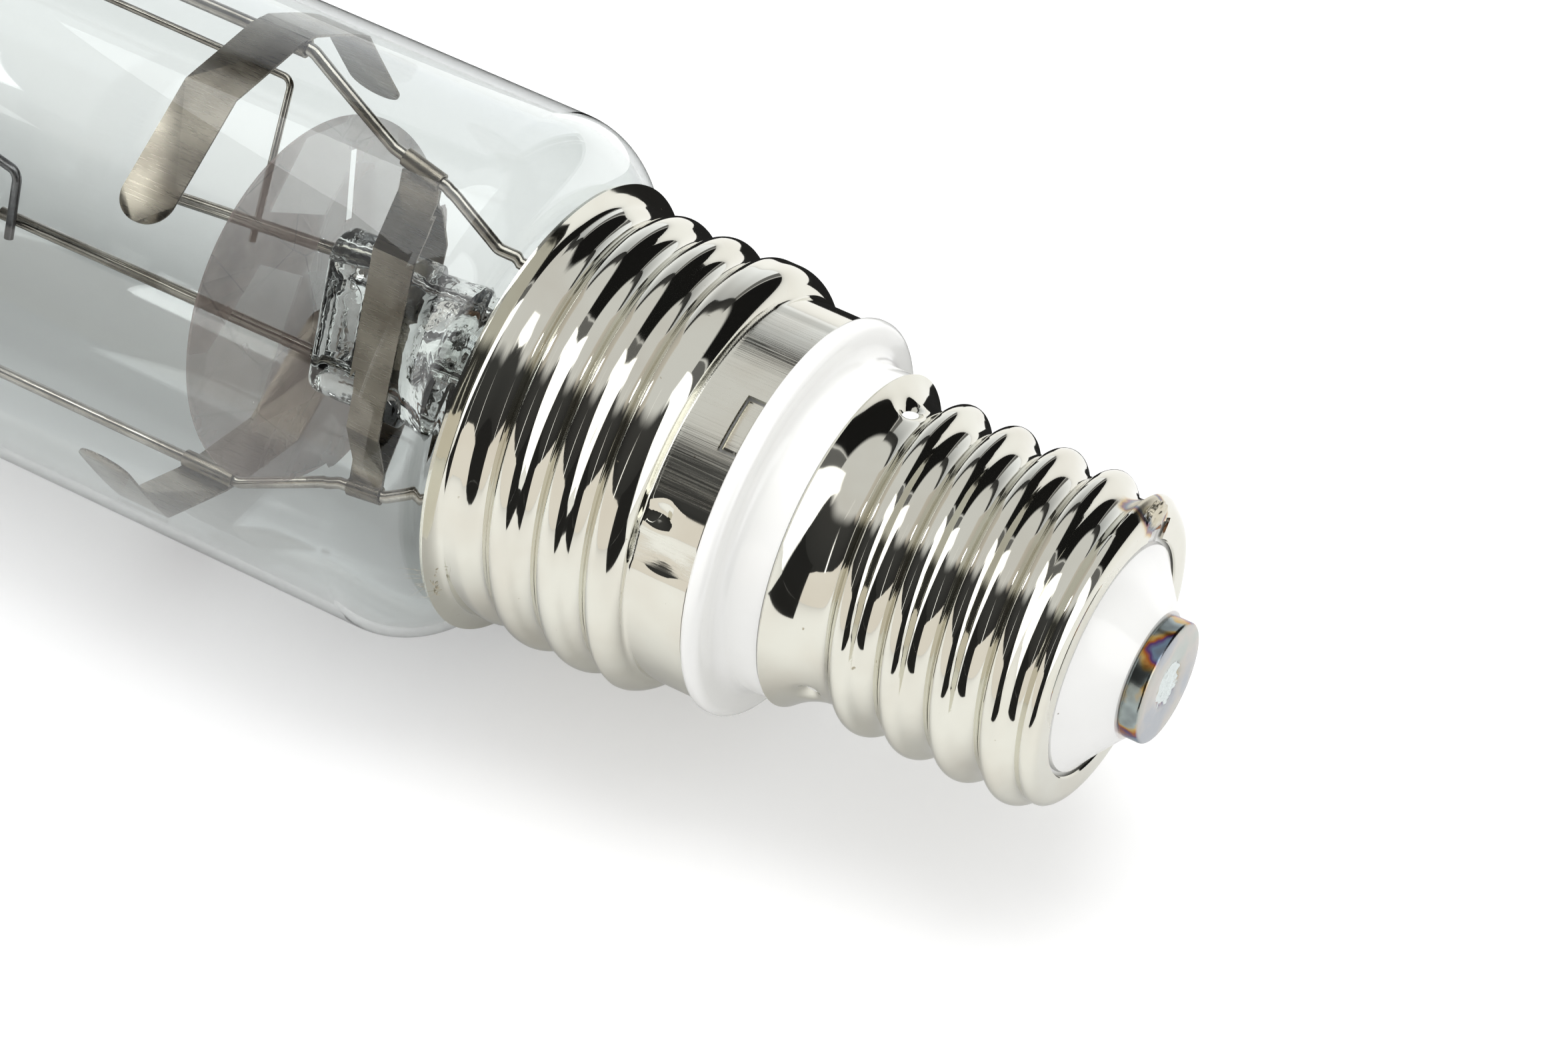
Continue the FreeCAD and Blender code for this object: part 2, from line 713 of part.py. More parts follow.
def make_arc_tube():
    """Quartz tube with round ends, each drawn into a flat pinch, with room for what it seals in."""
    half = arc_half

    def body(radius, length):
        k = radius * math.sqrt(0.5)
        flat = length - radius
        return turned([
            (arc_x - length, 0),
            ((arc_x - flat - k, k), (arc_x - flat, radius)),
            (arc_x + flat, radius),
            ((arc_x + flat + k, k), (arc_x + length, 0)),
        ])

    tube = body(arc_radius, half)
    for side in (1, -1):
        box = Part.makeBox(pinch_length + pinch_root, 2 * pinch_half_thickness,
                           2 * pinch_half_width,
                           V(half - pinch_root, -pinch_half_thickness, -pinch_half_width))
        if side < 0:
            box.rotate(ORIGIN, V(0, 0, 1), 180)
        box.translate(V(arc_x, 0, 0))
        tube = tube.fuse(box)
    tube = tube.cut(body(arc_radius - arc_wall, half - arc_wall))
    for side in (1, -1):
        for piece in (make_electrode(side), make_foil(side)):
            tube = tube.cut(piece)
        start = V(arc_x + side * (half + pinch_length - pinch_lead_depth), 0, 0)
        end = start + V(side * 1.2 * pinch_lead_depth, 0, 0)
        tube = tube.cut(bar(start, end, pinch_lead + seat / 2))
    return tube.removeSplitter()


def electrode_tip(side):
    """Place of an electrode's tip."""
    return arc_x + side * (arc_half - electrode_reach)


def make_electrode(side):
    """Tungsten rod with its winding, sealed into the pinch."""
    tip = electrode_tip(side)
    rod = bar(V(tip, 0, 0), V(tip + side * electrode_length, 0, 0), electrode_radius)
    start = tip + side * coil_inset
    coil = bar(V(start, 0, 0), V(start + side * coil_length, 0, 0), coil_radius)
    return rod.fuse(coil)


def make_foil(side):
    """Molybdenum foil in the pinch, from the electrode to the lead outside."""
    start = electrode_tip(side) + side * electrode_length
    low = min(start, start + side * foil_length)
    return Part.makeBox(foil_length, foil_thickness, foil_width,
                        V(low, -foil_thickness / 2, -foil_width / 2))


def foil_end(side):
    """Outer end of a foil."""
    return electrode_tip(side) + side * (electrode_length + foil_length)


def make_near_pinch_lead():
    """Wire from the near foil, bent aside and laid across the long lead rod."""
    turn_x = mica_x + long_rod_tip[0] + pinch_lead_turn
    aside = lead_rod + pinch_lead + seat / 2
    rod_s = long_rod_tip[1]
    points = [at(foil_end(1), 0), at(turn_x - pinch_lead_slant, 0), at(turn_x, 0, aside),
              at(turn_x, rod_s - wire_end, aside)]
    return bent_rod(points, pinch_lead, 1.3)


def make_far_pinch_lead():
    """Straight wire out of the far foil."""
    return bar(V(foil_end(-1), 0, 0), V(far_wire_x - wire_end, 0, 0), pinch_lead)


def make_return_wire():
    """Thin wire from the short rod, along the glass and across to the far pinch's lead."""
    start, end = rod_line(short_rod_root, short_rod_tip)
    turn_x = mica_x + return_wire_place
    cross_x = turn_x + return_wire_slant
    share = (cross_x - start.x) / (end.x - start.x)
    rod_s = start.z + (end.z - start.z) * share
    away = lead_rod + return_wire_radius + 2 * rod_clearance
    a = math.radians(return_wire_azimuth)
    run_s = return_wire_height * math.cos(a)
    run_n = return_wire_height * math.sin(a)
    slope = (run_n + away) / (run_s - rod_s)
    aside = pinch_lead + return_wire_radius + seat / 2
    points = [
        at(cross_x + lead_rod, rod_s - return_wire_lap, -away - slope * return_wire_lap),
        at(turn_x, run_s - 1.0, run_n),
        at(far_wire_x, run_s, run_n),
        at(far_wire_x, -1.5, -aside),
    ]
    return bent_rod(points, return_wire_radius, 1.6)


def make_getter():
    """Flat getter holder that stands on the frame's leg."""
    getter_x = frame_turn_x + getter_gap
    top = leg_height(1, getter_x) - frame_wire - seat / 2
    return Part.makeBox(getter_length, getter_thickness, getter_width,
                        V(getter_x - getter_length / 2, -getter_thickness / 2, top - getter_width))


def lead_start(root):
    """First run of a lead, from its rod in the press to the wide part of the stem."""
    return [at(mica_x + rod_root + 2 * seat, root), at(press_root_x + lead_turn, root * lead_spread)]


def make_centre_lead():
    """Wire from the long rod in the press to the weld in the face of the contact pin."""
    points = lead_start(long_rod_root) + [
        at(neck_end - 2.7, -lead_run), at(plug_back_x / 2, -lead_run / 2),
        at(plug_back_x - shank_radius, 0), at(pin_face_x - 6 * seat, 0)]
    return bent_rod(points, lead_in, 3.0)


def make_side_lead():
    """Wire from the short rod in the press to the weld in the notch of the screw shell."""
    swing = notch_azimuth - frame_azimuth
    weld_radius = shell_opening_radius + notch_depth - lead_in - seat / 2
    points = lead_start(short_rod_root) + [
        at(neck_end - 2.7, lead_run),
        ring_at(plug_back_x - 4.0, swing, sleeve_bore - 2.4),
        ring_at(plug_x - 2.0, swing, shell_opening_radius),
        ring_at(shell_length - sheet / 2, swing, weld_radius)]
    return bent_rod(points, lead_in, 1.2)


def arc_clamp(side, front):
    """Clamp round one pinch of the arc tube."""
    x = arc_x + side * (arc_half + pinch_length / 2)
    return clamp_half(x, pinch_half_width, pinch_half_thickness, front)


in_frame = {
    "stem": make_stem,
    "mica_disc": make_mica_disc,
    "mount_frame": make_frame,
    "stem_clamp_front": lambda: make_stem_clamp(True),
    "stem_clamp_back": lambda: make_stem_clamp(False),
    "lead_rod_short": lambda: bar(*rod_line(short_rod_root, short_rod_tip), lead_rod),
    "lead_rod_long": lambda: bar(*rod_line(long_rod_root, long_rod_tip), lead_rod),
    "return_wire": make_return_wire,
    "arc_tube": make_arc_tube,
    "electrode_near": lambda: make_electrode(1),
    "electrode_far": lambda: make_electrode(-1),
    "foil_near": lambda: make_foil(1),
    "foil_far": lambda: make_foil(-1),
    "pinch_lead_near": make_near_pinch_lead,
    "pinch_lead_far": make_far_pinch_lead,
    "arc_clamp_near_front": lambda: arc_clamp(1, True),
    "arc_clamp_near_back": lambda: arc_clamp(1, False),
    "arc_clamp_far_front": lambda: arc_clamp(-1, True),
    "arc_clamp_far_back": lambda: arc_clamp(-1, False),
    "leaf_spring_near_upper": lambda: make_leaf_spring(1, mica_x + spring_place),
    "leaf_spring_near_lower": lambda: make_leaf_spring(-1, mica_x + spring_place),
    "leaf_spring_far_upper": lambda: make_leaf_spring(1, frame_turn_x + spring_far_gap),
    "leaf_spring_far_lower": lambda: make_leaf_spring(-1, frame_turn_x + spring_far_gap),
    "getter": make_getter,
    "centre_lead": make_centre_lead,
    "side_lead": make_side_lead,
}

in_cap = {
    "outer_bulb": make_outer_bulb,
    "neck_packing": make_packing,
    "cap_skirt": make_cap_skirt,
    "insulator": make_insulator,
    "screw_shell": make_screw_shell,
    "contact_pin": make_contact_pin,
}


def main():
    os.makedirs("parts", exist_ok=True)
    for name, make in in_cap.items():
        make().exportStep("parts/%s.step" % name)
    for name, make in in_frame.items():
        shape = make()
        shape.rotate(ORIGIN, AXIS, frame_azimuth)
        shape.exportStep("parts/%s.step" % name)


main()
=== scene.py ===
"""Dresses the metal halide lamp: bright cap, clear bulb and the wire mount inside it.

Metres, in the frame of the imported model: +X from the dome to the contact pin, +Z up.
Azimuths about the lamp's axis are in degrees from +Z towards -Y.
"""

import logging
import math
from dataclasses import dataclass
from enum import Enum
from typing import Callable, Sequence

import bmesh
import bpy
import numpy as np
from bpy.types import Material, Node, NodeSocket, NodeTree, Object
from mathutils import Matrix, Vector, noise


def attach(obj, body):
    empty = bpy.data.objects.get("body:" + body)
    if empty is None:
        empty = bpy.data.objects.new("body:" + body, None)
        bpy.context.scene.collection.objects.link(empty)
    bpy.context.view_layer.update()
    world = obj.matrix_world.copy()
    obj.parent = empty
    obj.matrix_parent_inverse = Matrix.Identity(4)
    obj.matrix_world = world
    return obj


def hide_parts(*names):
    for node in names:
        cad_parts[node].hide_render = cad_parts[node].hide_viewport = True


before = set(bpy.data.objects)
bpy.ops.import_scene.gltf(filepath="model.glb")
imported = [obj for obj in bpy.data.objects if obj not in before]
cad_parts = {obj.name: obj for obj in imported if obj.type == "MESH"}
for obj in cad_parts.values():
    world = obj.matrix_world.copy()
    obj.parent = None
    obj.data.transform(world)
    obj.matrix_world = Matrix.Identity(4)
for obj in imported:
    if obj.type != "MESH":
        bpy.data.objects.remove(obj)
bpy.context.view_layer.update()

logging.basicConfig(level=logging.INFO, format="%(message)s")
log = logging.getLogger("lamp")

MM = 0.001
FLOOR_Z = -32.5 * MM
Profile = list[tuple[float, float]]
Triple = tuple[float, float, float]


class Tone(Enum):
    """What a studio card shows in the metal and the glass, as a grey level."""

    FELT = 0.01
    ROOM = 0.02
    HAZE = 0.16
    WALL = 0.42
    CEILING = 0.76
    PAPER = 0.94
    PANEL = 1.25
    SOFT_BOX = 1.9
    LAMP = 9.0


def linear(code: str) -> tuple[float, float, float, float]:
    """Turn an sRGB hex value to a linear colour.

    Args:
        code: Six hex digits, with or without a leading #.

    Returns:
        Linear red, green, blue and an alpha of 1.
    """
    digits = code.lstrip("#")
    values = [int(digits[i:i + 2], 16) / 255 for i in (0, 2, 4)]
    bright = [v / 12.92 if v <= 0.04045 else ((v + 0.055) / 1.055) ** 2.4 for v in values]
    return (bright[0], bright[1], bright[2], 1.0)


def feed(tree: NodeTree, node: Node, values: dict | None = None,
         links: dict | None = None) -> None:
    """Give a node's inputs their constants and links.

    Args:
        tree: Node tree that has the node.
        node: The node.
        values: Input name or number to constant value.
        links: Input name or number to output socket.
    """
    for key, value in (values or {}).items():
        node.inputs[key].default_value = value
    for key, socket in (links or {}).items():
        tree.links.new(socket, node.inputs[key])


def add(tree: NodeTree, kind: str, values: dict | None = None,
        links: dict | None = None, **settings: object) -> Node:
    """Add a shader node with its settings, values and links.

    Args:
        tree: Node tree that gets the node.
        kind: Node type, without its ShaderNode prefix.
        values: Input name or number to constant value.
        links: Input name or number to output socket.
        settings: Properties of the node itself.

    Returns:
        The new node.
    """
    made = tree.nodes.new("ShaderNode" + kind)
    for key, value in settings.items():
        setattr(made, key, value)
    feed(tree, made, values, links)
    return made


def ramp(tree: NodeTree, socket: NodeSocket,
         stops: list[tuple[float, tuple]]) -> NodeSocket:
    """Turn a value to a colour by a ramp.

    Args:
        tree: Node tree.
        socket: Value from 0 to 1.
        stops: Positions and linear colours.

    Returns:
        The ramp's colour output.
    """
    made = add(tree, "ValToRGB", links={"Fac": socket})
    band = made.color_ramp
    while len(band.elements) < len(stops):
        band.elements.new(0.5)
    for element, (position, colour) in zip(band.elements, stops):
        element.position = position
        element.color = colour
    return made.outputs["Color"]


def grey(value: float) -> tuple[float, float, float, float]:
    """Neutral linear colour."""
    return (value, value, value, 1.0)


def ring(x: float, azimuth: float, radius: float) -> Vector:
    """Point in metres at millimetre distance from the lamp's axis, at an azimuth."""
    a = math.radians(azimuth)
    return Vector((x, -radius * math.sin(a), radius * math.cos(a))) * MM


@dataclass(frozen=True)
class Finish:
    """A material named for what the real surface is and how it was made."""

    name: str

    def material(self) -> Material:
        """The finished material, made once."""
        known = bpy.data.materials.get(self.name)
        if known:
            return known
        made = bpy.data.materials.new(self.name)
        made.use_nodes = True
        self.dress(made.node_tree, made.node_tree.nodes["Principled BSDF"])
        return made

    def dress(self, tree: NodeTree, surface: Node) -> None:
        """Set the shader's own values and its patterns.

        Args:
            tree: Node tree of the material.
            surface: Its Principled shader.
        """
        raise NotImplementedError

    def place(self, tree: NodeTree, scale: Triple = (1, 1, 1),
              centre: Vector | None = None) -> NodeSocket:
        """Object coordinates in metres, scaled and centred.

        Args:
            tree: Node tree.
            scale: Scale along each axis.
            centre: Point that becomes the origin.

        Returns:
            A vector output.
        """
        where = add(tree, "TexCoord").outputs["Object"]
        if centre is not None:
            where = add(tree, "VectorMath", {1: centre}, {0: where},
                        operation="SUBTRACT").outputs[0]
        return add(tree, "Mapping", {"Scale": scale}, {"Vector": where}).outputs[0]

    def grain(self, tree: NodeTree, where: NodeSocket, size_mm: float,
              detail: float = 3.0) -> NodeSocket:
        """Noise whose blotches have a size in millimetres.

        Args:
            tree: Node tree.
            where: Vector in metres.
            size_mm: Width of one blotch.
            detail: Octaves of finer noise.

        Returns:
            A value from 0 to 1.
        """
        return add(tree, "TexNoise", {"Scale": 1 / (size_mm * MM), "Detail": detail},
                   {"Vector": where}).outputs["Fac"]

    def spot(self, tree: NodeTree, centre: Vector, radius_mm: float,
             soft_mm: float) -> NodeSocket:
        """Mask of 1 inside a ball that fades to 0.

        Args:
            tree: Node tree.
            centre: Middle of the ball in metres.
            radius_mm: Where the mask is half gone.
            soft_mm: Width of the fade.

        Returns:
            A value from 0 to 1.
        """
        where = add(tree, "TexCoord").outputs["Object"]
        away = add(tree, "VectorMath", {1: centre}, {0: where}, operation="DISTANCE")
        low = (radius_mm - soft_mm / 2) * MM
        high = (radius_mm + soft_mm / 2) * MM
        fall = {"From Min": low, "From Max": high, "To Min": 1.0, "To Max": 0.0}
        return add(tree, "MapRange", fall, {"Value": away.outputs["Value"]},
                   interpolation_type="SMOOTHSTEP").outputs[0]


@dataclass(frozen=True)
class NickelPlate(Finish):
    """Bright nickel plate over drawn brass sheet: a warm mirror with a little grime."""

    name: str = "nickel_plated_brass"
    colour: str = "#DEDDD2"
    shade: str = "#D8D5C9"
    weld_mm: Triple = (32.6, 9.6, 15.9)

    def dress(self, tree: NodeTree, surface: Node) -> None:
        """Mirror metal, duller in patches, with brown grime and a heat tint at the weld."""
        where = self.place(tree)
        haze = self.grain(tree, where, 9.0, 3.0)
        base = ramp(tree, haze, [(0.35, linear(self.shade)), (0.6, linear(self.colour))])
        # Specks of old flux and dust, about 0.4 mm wide and far apart
        specks = self.grain(tree, where, 1.1, 3.0)
        dirt = ramp(tree, specks, [(0.74, grey(0.0)), (0.8, grey(0.7))])
        base = add(tree, "Mix", {7: linear("#8F8264")}, {0: dirt, 6: base},
                   data_type="RGBA").outputs[2]
        heated = self.spot(tree, Vector(self.weld_mm) * MM, 3.0, 3.4)
        spot = ramp(tree, heated, [(0.0, grey(0.0)), (0.3, grey(1.0))])
        wander = add(tree, "Math", {1: 0.55}, {0: self.grain(tree, where, 1.6, 4.0)},
                     operation="MULTIPLY")
        warm = add(tree, "Math", {}, {0: heated, 1: wander.outputs[0]}, operation="ADD")
        heat = ramp(tree, warm.outputs[0],
                    [(0.3, linear(self.colour)), (0.5, linear("#C9AE7C")),
                     (0.66, linear("#8E6F78")), (0.8, linear("#76808C")),
                     (1.0, linear("#C9C2AE"))])
        base = add(tree, "Mix", {}, {0: spot, 6: base, 7: heat}, data_type="RGBA").outputs[2]
        rough = ramp(tree, haze, [(0.3, grey(0.075)), (0.7, grey(0.035))])
        worn = add(tree, "Mix", {7: grey(0.42)}, {0: dirt, 6: rough}, data_type="RGBA").outputs[2]
        burnt = add(tree, "Mix", {7: grey(0.3)}, {0: spot, 6: worn}, data_type="RGBA").outputs[2]
        # Orange peel of the plating, a few hundredths of a millimetre deep
        peel = add(tree, "Bump", {"Strength": 0.04, "Distance": 0.02 * MM},
                   {"Height": self.grain(tree, where, 1.2, 2.0)})
        feed(tree, surface, {"Metallic": 1.0},
             {"Base Color": base, "Roughness": burnt, "Normal": peel.outputs[0]})


@dataclass(frozen=True)
class BrushedCollar(NickelPlate):
    """The skirt's collar where the crimping tool rubbed it along the axis."""

    name: str = "nickel_plated_brass_brushed"

    def dress(self, tree: NodeTree, surface: Node) -> None:
        """Nickel plate with scratches along the axis, about 0.2 mm apart."""
        super().dress(tree, surface)
        lines = self.grain(tree, self.place(tree, (0.015, 1.0, 1.0)), 0.22, 2.0)
        streak = ramp(tree, lines, [(0.35, grey(0.1)), (0.65, grey(0.3))])
        rubs = add(tree, "Bump", {"Strength": 0.5, "Distance": 0.04 * MM}, {"Height": lines})
        feed(tree, surface, {}, {"Roughness": streak, "Normal": rubs.outputs[0]})


@dataclass(frozen=True)
class ClearGlass(Finish):
    """Blown or pressed hard glass: clear, with a trace of grey where it is thick."""

    name: str = "blown_clear_glass"
    colour: str = "#E9ECEB"
    ior: float = 1.47
    roughness: float = 0.0
    ripple_mm: float = 0.0

    def dress(self, tree: NodeTree, surface: Node) -> None:
        """Clear transmission, with slow waves in the surface where it was worked by flame."""
        feed(tree, surface, {"Base Color": linear(self.colour), "Transmission Weight": 1.0,
                             "Roughness": self.roughness, "IOR": self.ior})
        if self.ripple_mm:
            waves = self.grain(tree, self.place(tree), self.ripple_mm, 2.0)
            bump = add(tree, "Bump", {"Strength": 0.6, "Distance": 0.5 * MM}, {"Height": waves})
            feed(tree, surface, {}, {"Normal": bump.outputs[0]})


@dataclass(frozen=True)
class WhiteMoulding(Finish):
    """Glossy white moulding: slightly soft highlights and the odd dark speck."""

    name: str = "glazed_white_moulding"
    colour: str = "#F5F5F3"

    def dress(self, tree: NodeTree, surface: Node) -> None:
        """White body under a smooth skin, with specks half a millimetre wide."""
        where = self.place(tree)
        body = ramp(tree, self.grain(tree, where, 14.0),
                    [(0.3, linear("#F0F0ED")), (0.7, linear(self.colour))])
        specks = add(tree, "TexVoronoi", {"Scale": 1 / (6.0 * MM)}, {"Vector": where})
        mask = ramp(tree, specks.outputs["Distance"], [(0.012, grey(1.0)), (0.022, grey(0.0))])
        dotted = add(tree, "Mix", {7: linear("#9A968C")}, {0: mask, 6: body}, data_type="RGBA")
        bump = add(tree, "Bump", {"Strength": 0.08, "Distance": 0.2 * MM},
                   {"Height": self.grain(tree, where, 5.0)})
        feed(tree, surface, {"Roughness": 0.16, "Coat Weight": 0.3},
             {"Base Color": dotted.outputs[2], "Normal": bump.outputs[0]})


@dataclass(frozen=True)
class WeldedSteel(Finish):
    """Machined steel rivet with temper colours from the weld in its face."""

    name: str = "tempered_steel_rivet"
    face_x: float = 40.7

    def dress(self, tree: NodeTree, surface: Node) -> None:
        """Patches of straw, orange, purple and blue on the edge, and a rough pale weld."""
        where = self.place(tree)
        wander = self.grain(tree, where, 6.5, 3.0)
        bands = ramp(tree, wander, [(0.3, linear("#5E6365")), (0.44, linear("#9AA4A2")),
                                    (0.49, linear("#C2A25E")), (0.525, linear("#A8612C")),
                                    (0.56, linear("#5B3A70")), (0.61, linear("#6F8296")),
                                    (0.75, linear("#6A6C70"))])
        # The flat face was ground after the heat, so it is greyer than the edge
        apart = add(tree, "SeparateXYZ", {}, {0: where}).outputs["X"]
        face = add(tree, "MapRange", {"From Min": (self.face_x - 0.25) * MM,
                                      "From Max": (self.face_x - 0.05) * MM}, {"Value": apart})
        ground = ramp(tree, wander, [(0.35, linear("#ADB4AE")), (0.5, linear("#BCB7B0")),
                                     (0.65, linear("#A6AAB0"))])
        shade = add(tree, "Mix", {}, {0: face.outputs[0], 6: bands, 7: ground}, data_type="RGBA")
        ragged = add(tree, "Math", {1: 1.5, 2: -0.75}, {0: self.grain(tree, where, 1.2, 5.0)},
                     operation="MULTIPLY_ADD")
        inside = self.spot(tree, Vector((self.face_x, 0, 0)) * MM, 2.6, 3.2)
        edge = add(tree, "Math", {}, {0: inside, 1: ragged.outputs[0]}, operation="ADD")
        weld = add(tree, "MapRange", {"From Min": 0.45, "From Max": 0.55},
                   {"Value": edge.outputs[0]}).outputs[0]
        base = add(tree, "Mix", {7: linear("#DDE4E3")}, {0: weld, 6: shade.outputs[2]},
                   data_type="RGBA")
        rough = add(tree, "Mix", {6: grey(0.2), 7: grey(0.35)}, {0: weld}, data_type="RGBA")
        # Beads of the melt in the weld, and only a faint grain on the rest
        lumps = add(tree, "Math", {}, {0: self.grain(tree, where, 0.5, 4.0), 1: weld},
                    operation="MULTIPLY")
        beads = add(tree, "Bump", {"Strength": 0.9, "Distance": 0.25 * MM},
                    {"Height": lumps.outputs[0]})
        fine = add(tree, "Bump", {"Strength": 0.2, "Distance": 0.05 * MM},
                   {"Height": self.grain(tree, where, 0.6, 3.0), "Normal": beads.outputs[0]})
        feed(tree, surface, {"Metallic": 1.0},
             {"Base Color": base.outputs[2], "Roughness": rough.outputs[2],
              "Normal": fine.outputs[0]})


@dataclass(frozen=True)
class DrawnMetal(Finish):
    """Drawn wire or rolled strip: metal with fine lines along its length."""

    name: str = "drawn_steel_rod"
    dark: str = "#6E655B"
    light: str = "#A9A196"
    rough: float = 0.28
    line_mm: float = 0.25
    stretch: Triple = (0.04, 1.0, 1.0)
    blotch_mm: float = 6.0

    def dress(self, tree: NodeTree, surface: Node) -> None:
        """Long fine lines over slow changes of tone from the firing of the bulb."""
        lines = self.grain(tree, self.place(tree, self.stretch), self.line_mm, 2.0)
        slow = self.grain(tree, self.place(tree), self.blotch_mm, 3.0)
        tone = ramp(tree, slow, [(0.35, linear(self.dark)), (0.65, linear(self.light))])
        fine = ramp(tree, lines, [(0.3, grey(0.82)), (0.7, grey(1.0))])
        base = add(tree, "Mix", {0: 1.0}, {6: tone, 7: fine}, data_type="RGBA",
                   blend_type="MULTIPLY")
        rough = ramp(tree, lines, [(0.3, grey(self.rough)), (0.7, grey(self.rough + 0.12))])
        bump = add(tree, "Bump", {"Strength": 0.3, "Distance": 0.02 * MM}, {"Height": lines})
        feed(tree, surface, {"Metallic": 1.0},
             {"Base Color": base.outputs[2], "Roughness": rough, "Normal": bump.outputs[0]})


@dataclass(frozen=True)
class Mica(Finish):
    """Split mica sheet: translucent, pinkish grey-brown, crazed, with lifted flakes."""

    name: str = "split_mica_sheet"

    def dress(self, tree: NodeTree, surface: Node) -> None:
        """Thin pinkish film that shows what is behind it, with cracks and lifted layers."""
        where = self.place(tree)
        slow = self.grain(tree, where, 8.0, 4.0)
        body = ramp(tree, slow, [(0.3, linear("#B09A93")), (0.5, linear("#CFBAB3")),
                                 (0.7, linear("#DDCCC6"))])
        cracks = add(tree, "TexVoronoi", {"Scale": 1 / (11.0 * MM)}, {"Vector": where},
                     feature="DISTANCE_TO_EDGE")
        line = ramp(tree, cracks.outputs["Distance"], [(0.0, grey(0.5)), (0.012, grey(0.0))])
        base = add(tree, "Mix", {7: linear("#6E5C54")}, {0: line, 6: body}, data_type="RGBA")
        # Each layer hides a third of what is behind it, more where flakes overlap
        layers = add(tree, "TexVoronoi", {"Scale": 1 / (14.0 * MM)}, {"Vector": where})
        cover = ramp(tree, layers.outputs["Color"], [(0.2, grey(0.3)), (0.8, grey(0.46))])
        bump = add(tree, "Bump", {"Strength": 0.15, "Distance": 0.1 * MM},
                   {"Height": self.grain(tree, where, 6.0, 2.0)})
        feed(tree, surface, {"Roughness": 0.3},
             {"Base Color": base.outputs[2], "Alpha": cover, "Normal": bump.outputs[0]})


@dataclass(frozen=True)
class WovenTape(Finish):
    """Glass-fibre tape, woven, yellowish white."""

    name: str = "woven_glass_fibre_tape"

    def dress(self, tree: NodeTree, surface: Node) -> None:
        """Threads about 0.6 mm apart round and along the neck."""
        across = add(tree, "TexWave", {"Scale": 0.5 / (0.6 * MM) / 3.14, "Distortion": 1.0},
                     {"Vector": self.place(tree)}, bands_direction="X")
        base = ramp(tree, across.outputs["Fac"],
                    [(0.2, linear("#BFB59E")), (0.8, linear("#E8E2D2"))])
        bump = add(tree, "Bump", {"Strength": 0.6, "Distance": 0.2 * MM},
                   {"Height": across.outputs["Fac"]})
        feed(tree, surface, {"Roughness": 0.85}, {"Base Color": base, "Normal": bump.outputs[0]})


def deselect() -> None:
    """Nothing selected, in object mode."""
    if bpy.context.mode != "OBJECT":
        bpy.ops.object.mode_set(mode="OBJECT")
    bpy.ops.object.select_all(action="DESELECT")


def activate(piece: Object) -> None:
    """Only this piece selected and active."""
    deselect()
    piece.select_set(True)
    bpy.context.view_layer.objects.active = piece


def apply(piece: Object, kind: str, **settings: object) -> None:
    """Add a modifier and apply it.

    Args:
        piece: Object that gets it.
        kind: Modifier type.
        settings: Its properties.
    """
    activate(piece)
    modifier = piece.modifiers.new(kind.title(), kind)
    for key, value in settings.items():
        setattr(modifier, key, value)
    bpy.ops.object.modifier_apply(modifier=modifier.name)


def plain_mesh(name: str, points: Sequence, edges: Sequence = (),
               faces: Sequence = ()) -> Object:
    """Put a mesh of given points in the scene.

    Args:
        name: Name of the piece.
        points: Vertices in metres.
        edges: Pairs of vertex numbers.
        faces: Rows of vertex numbers.

    Returns:
        The piece.
    """
    deselect()
    mesh = bpy.data.meshes.new(name)
    mesh.from_pydata(points, edges, faces)
    piece = bpy.data.objects.new(name, mesh)
    bpy.context.scene.collection.objects.link(piece)
    return piece


def cut_out(piece: Object, rule: Callable[[Vector], bool]) -> None:
    """Take faces out of a mesh.

    Args:
        piece: The mesh.
        rule: From a face's middle in millimetres to whether it goes.
    """
    activate(piece)
    bpy.ops.object.mode_set(mode="EDIT")
    work = bmesh.from_edit_mesh(piece.data)
    out = [face for face in work.faces if rule(face.calc_center_median() / MM)]
    bmesh.ops.delete(work, geom=out, context="FACES")
    bmesh.update_edit_mesh(piece.data)
    bpy.ops.object.mode_set(mode="OBJECT")


def seated(azimuth: float, place: Triple,
           size: Triple) -> Matrix:
    """Matrix that seats a unit shape on the cap.

    Args:
        azimuth: Turn about the lamp's axis in degrees.
        place: Middle of the shape in millimetres, before the turn.
        size: Its scale along each axis in millimetres.

    Returns:
        The matrix, in metres.
    """
    turn = Matrix.Rotation(math.radians(azimuth), 4, "X")
    shift = Matrix.Translation(Vector(place) * MM)
    return turn @ shift @ Matrix.Diagonal((size[0] * MM, size[1] * MM, size[2] * MM, 1))


def azimuth_of(point: Vector) -> float:
    """Azimuth of a point about the lamp's axis, in degrees."""
    return math.degrees(math.atan2(-point.y, point.z))


def spun(name: str, profile: Profile, steps: int = 144, closed: bool = False) -> Object:
    """Turn a profile about the lamp's axis.

    Args:
        name: Name of the piece.
        profile: Points (x, r) in millimetres.
        steps: Steps round the axis.
        closed: Whether the profile's last point joins its first.

    Returns:
        The turned mesh, with merged seam and normals outward.
    """
    points = [(x * MM, 0.0, r * MM) for x, r in profile]
    edges = [(i, i + 1) for i in range(len(points) - 1)]
    if closed:
        edges.append((len(points) - 1, 0))
    piece = plain_mesh(name, points, edges)
    activate(piece)
    bpy.ops.object.mode_set(mode="EDIT")
    bpy.ops.mesh.select_all(action="SELECT")
    bpy.ops.mesh.spin(steps=steps, angle=2 * math.pi, center=(0, 0, 0), axis=(1, 0, 0))
    bpy.ops.mesh.select_all(action="SELECT")
    bpy.ops.mesh.remove_doubles(threshold=2e-6)
    bpy.ops.mesh.normals_make_consistent(inside=False)
    bpy.ops.object.mode_set(mode="OBJECT")
    return piece


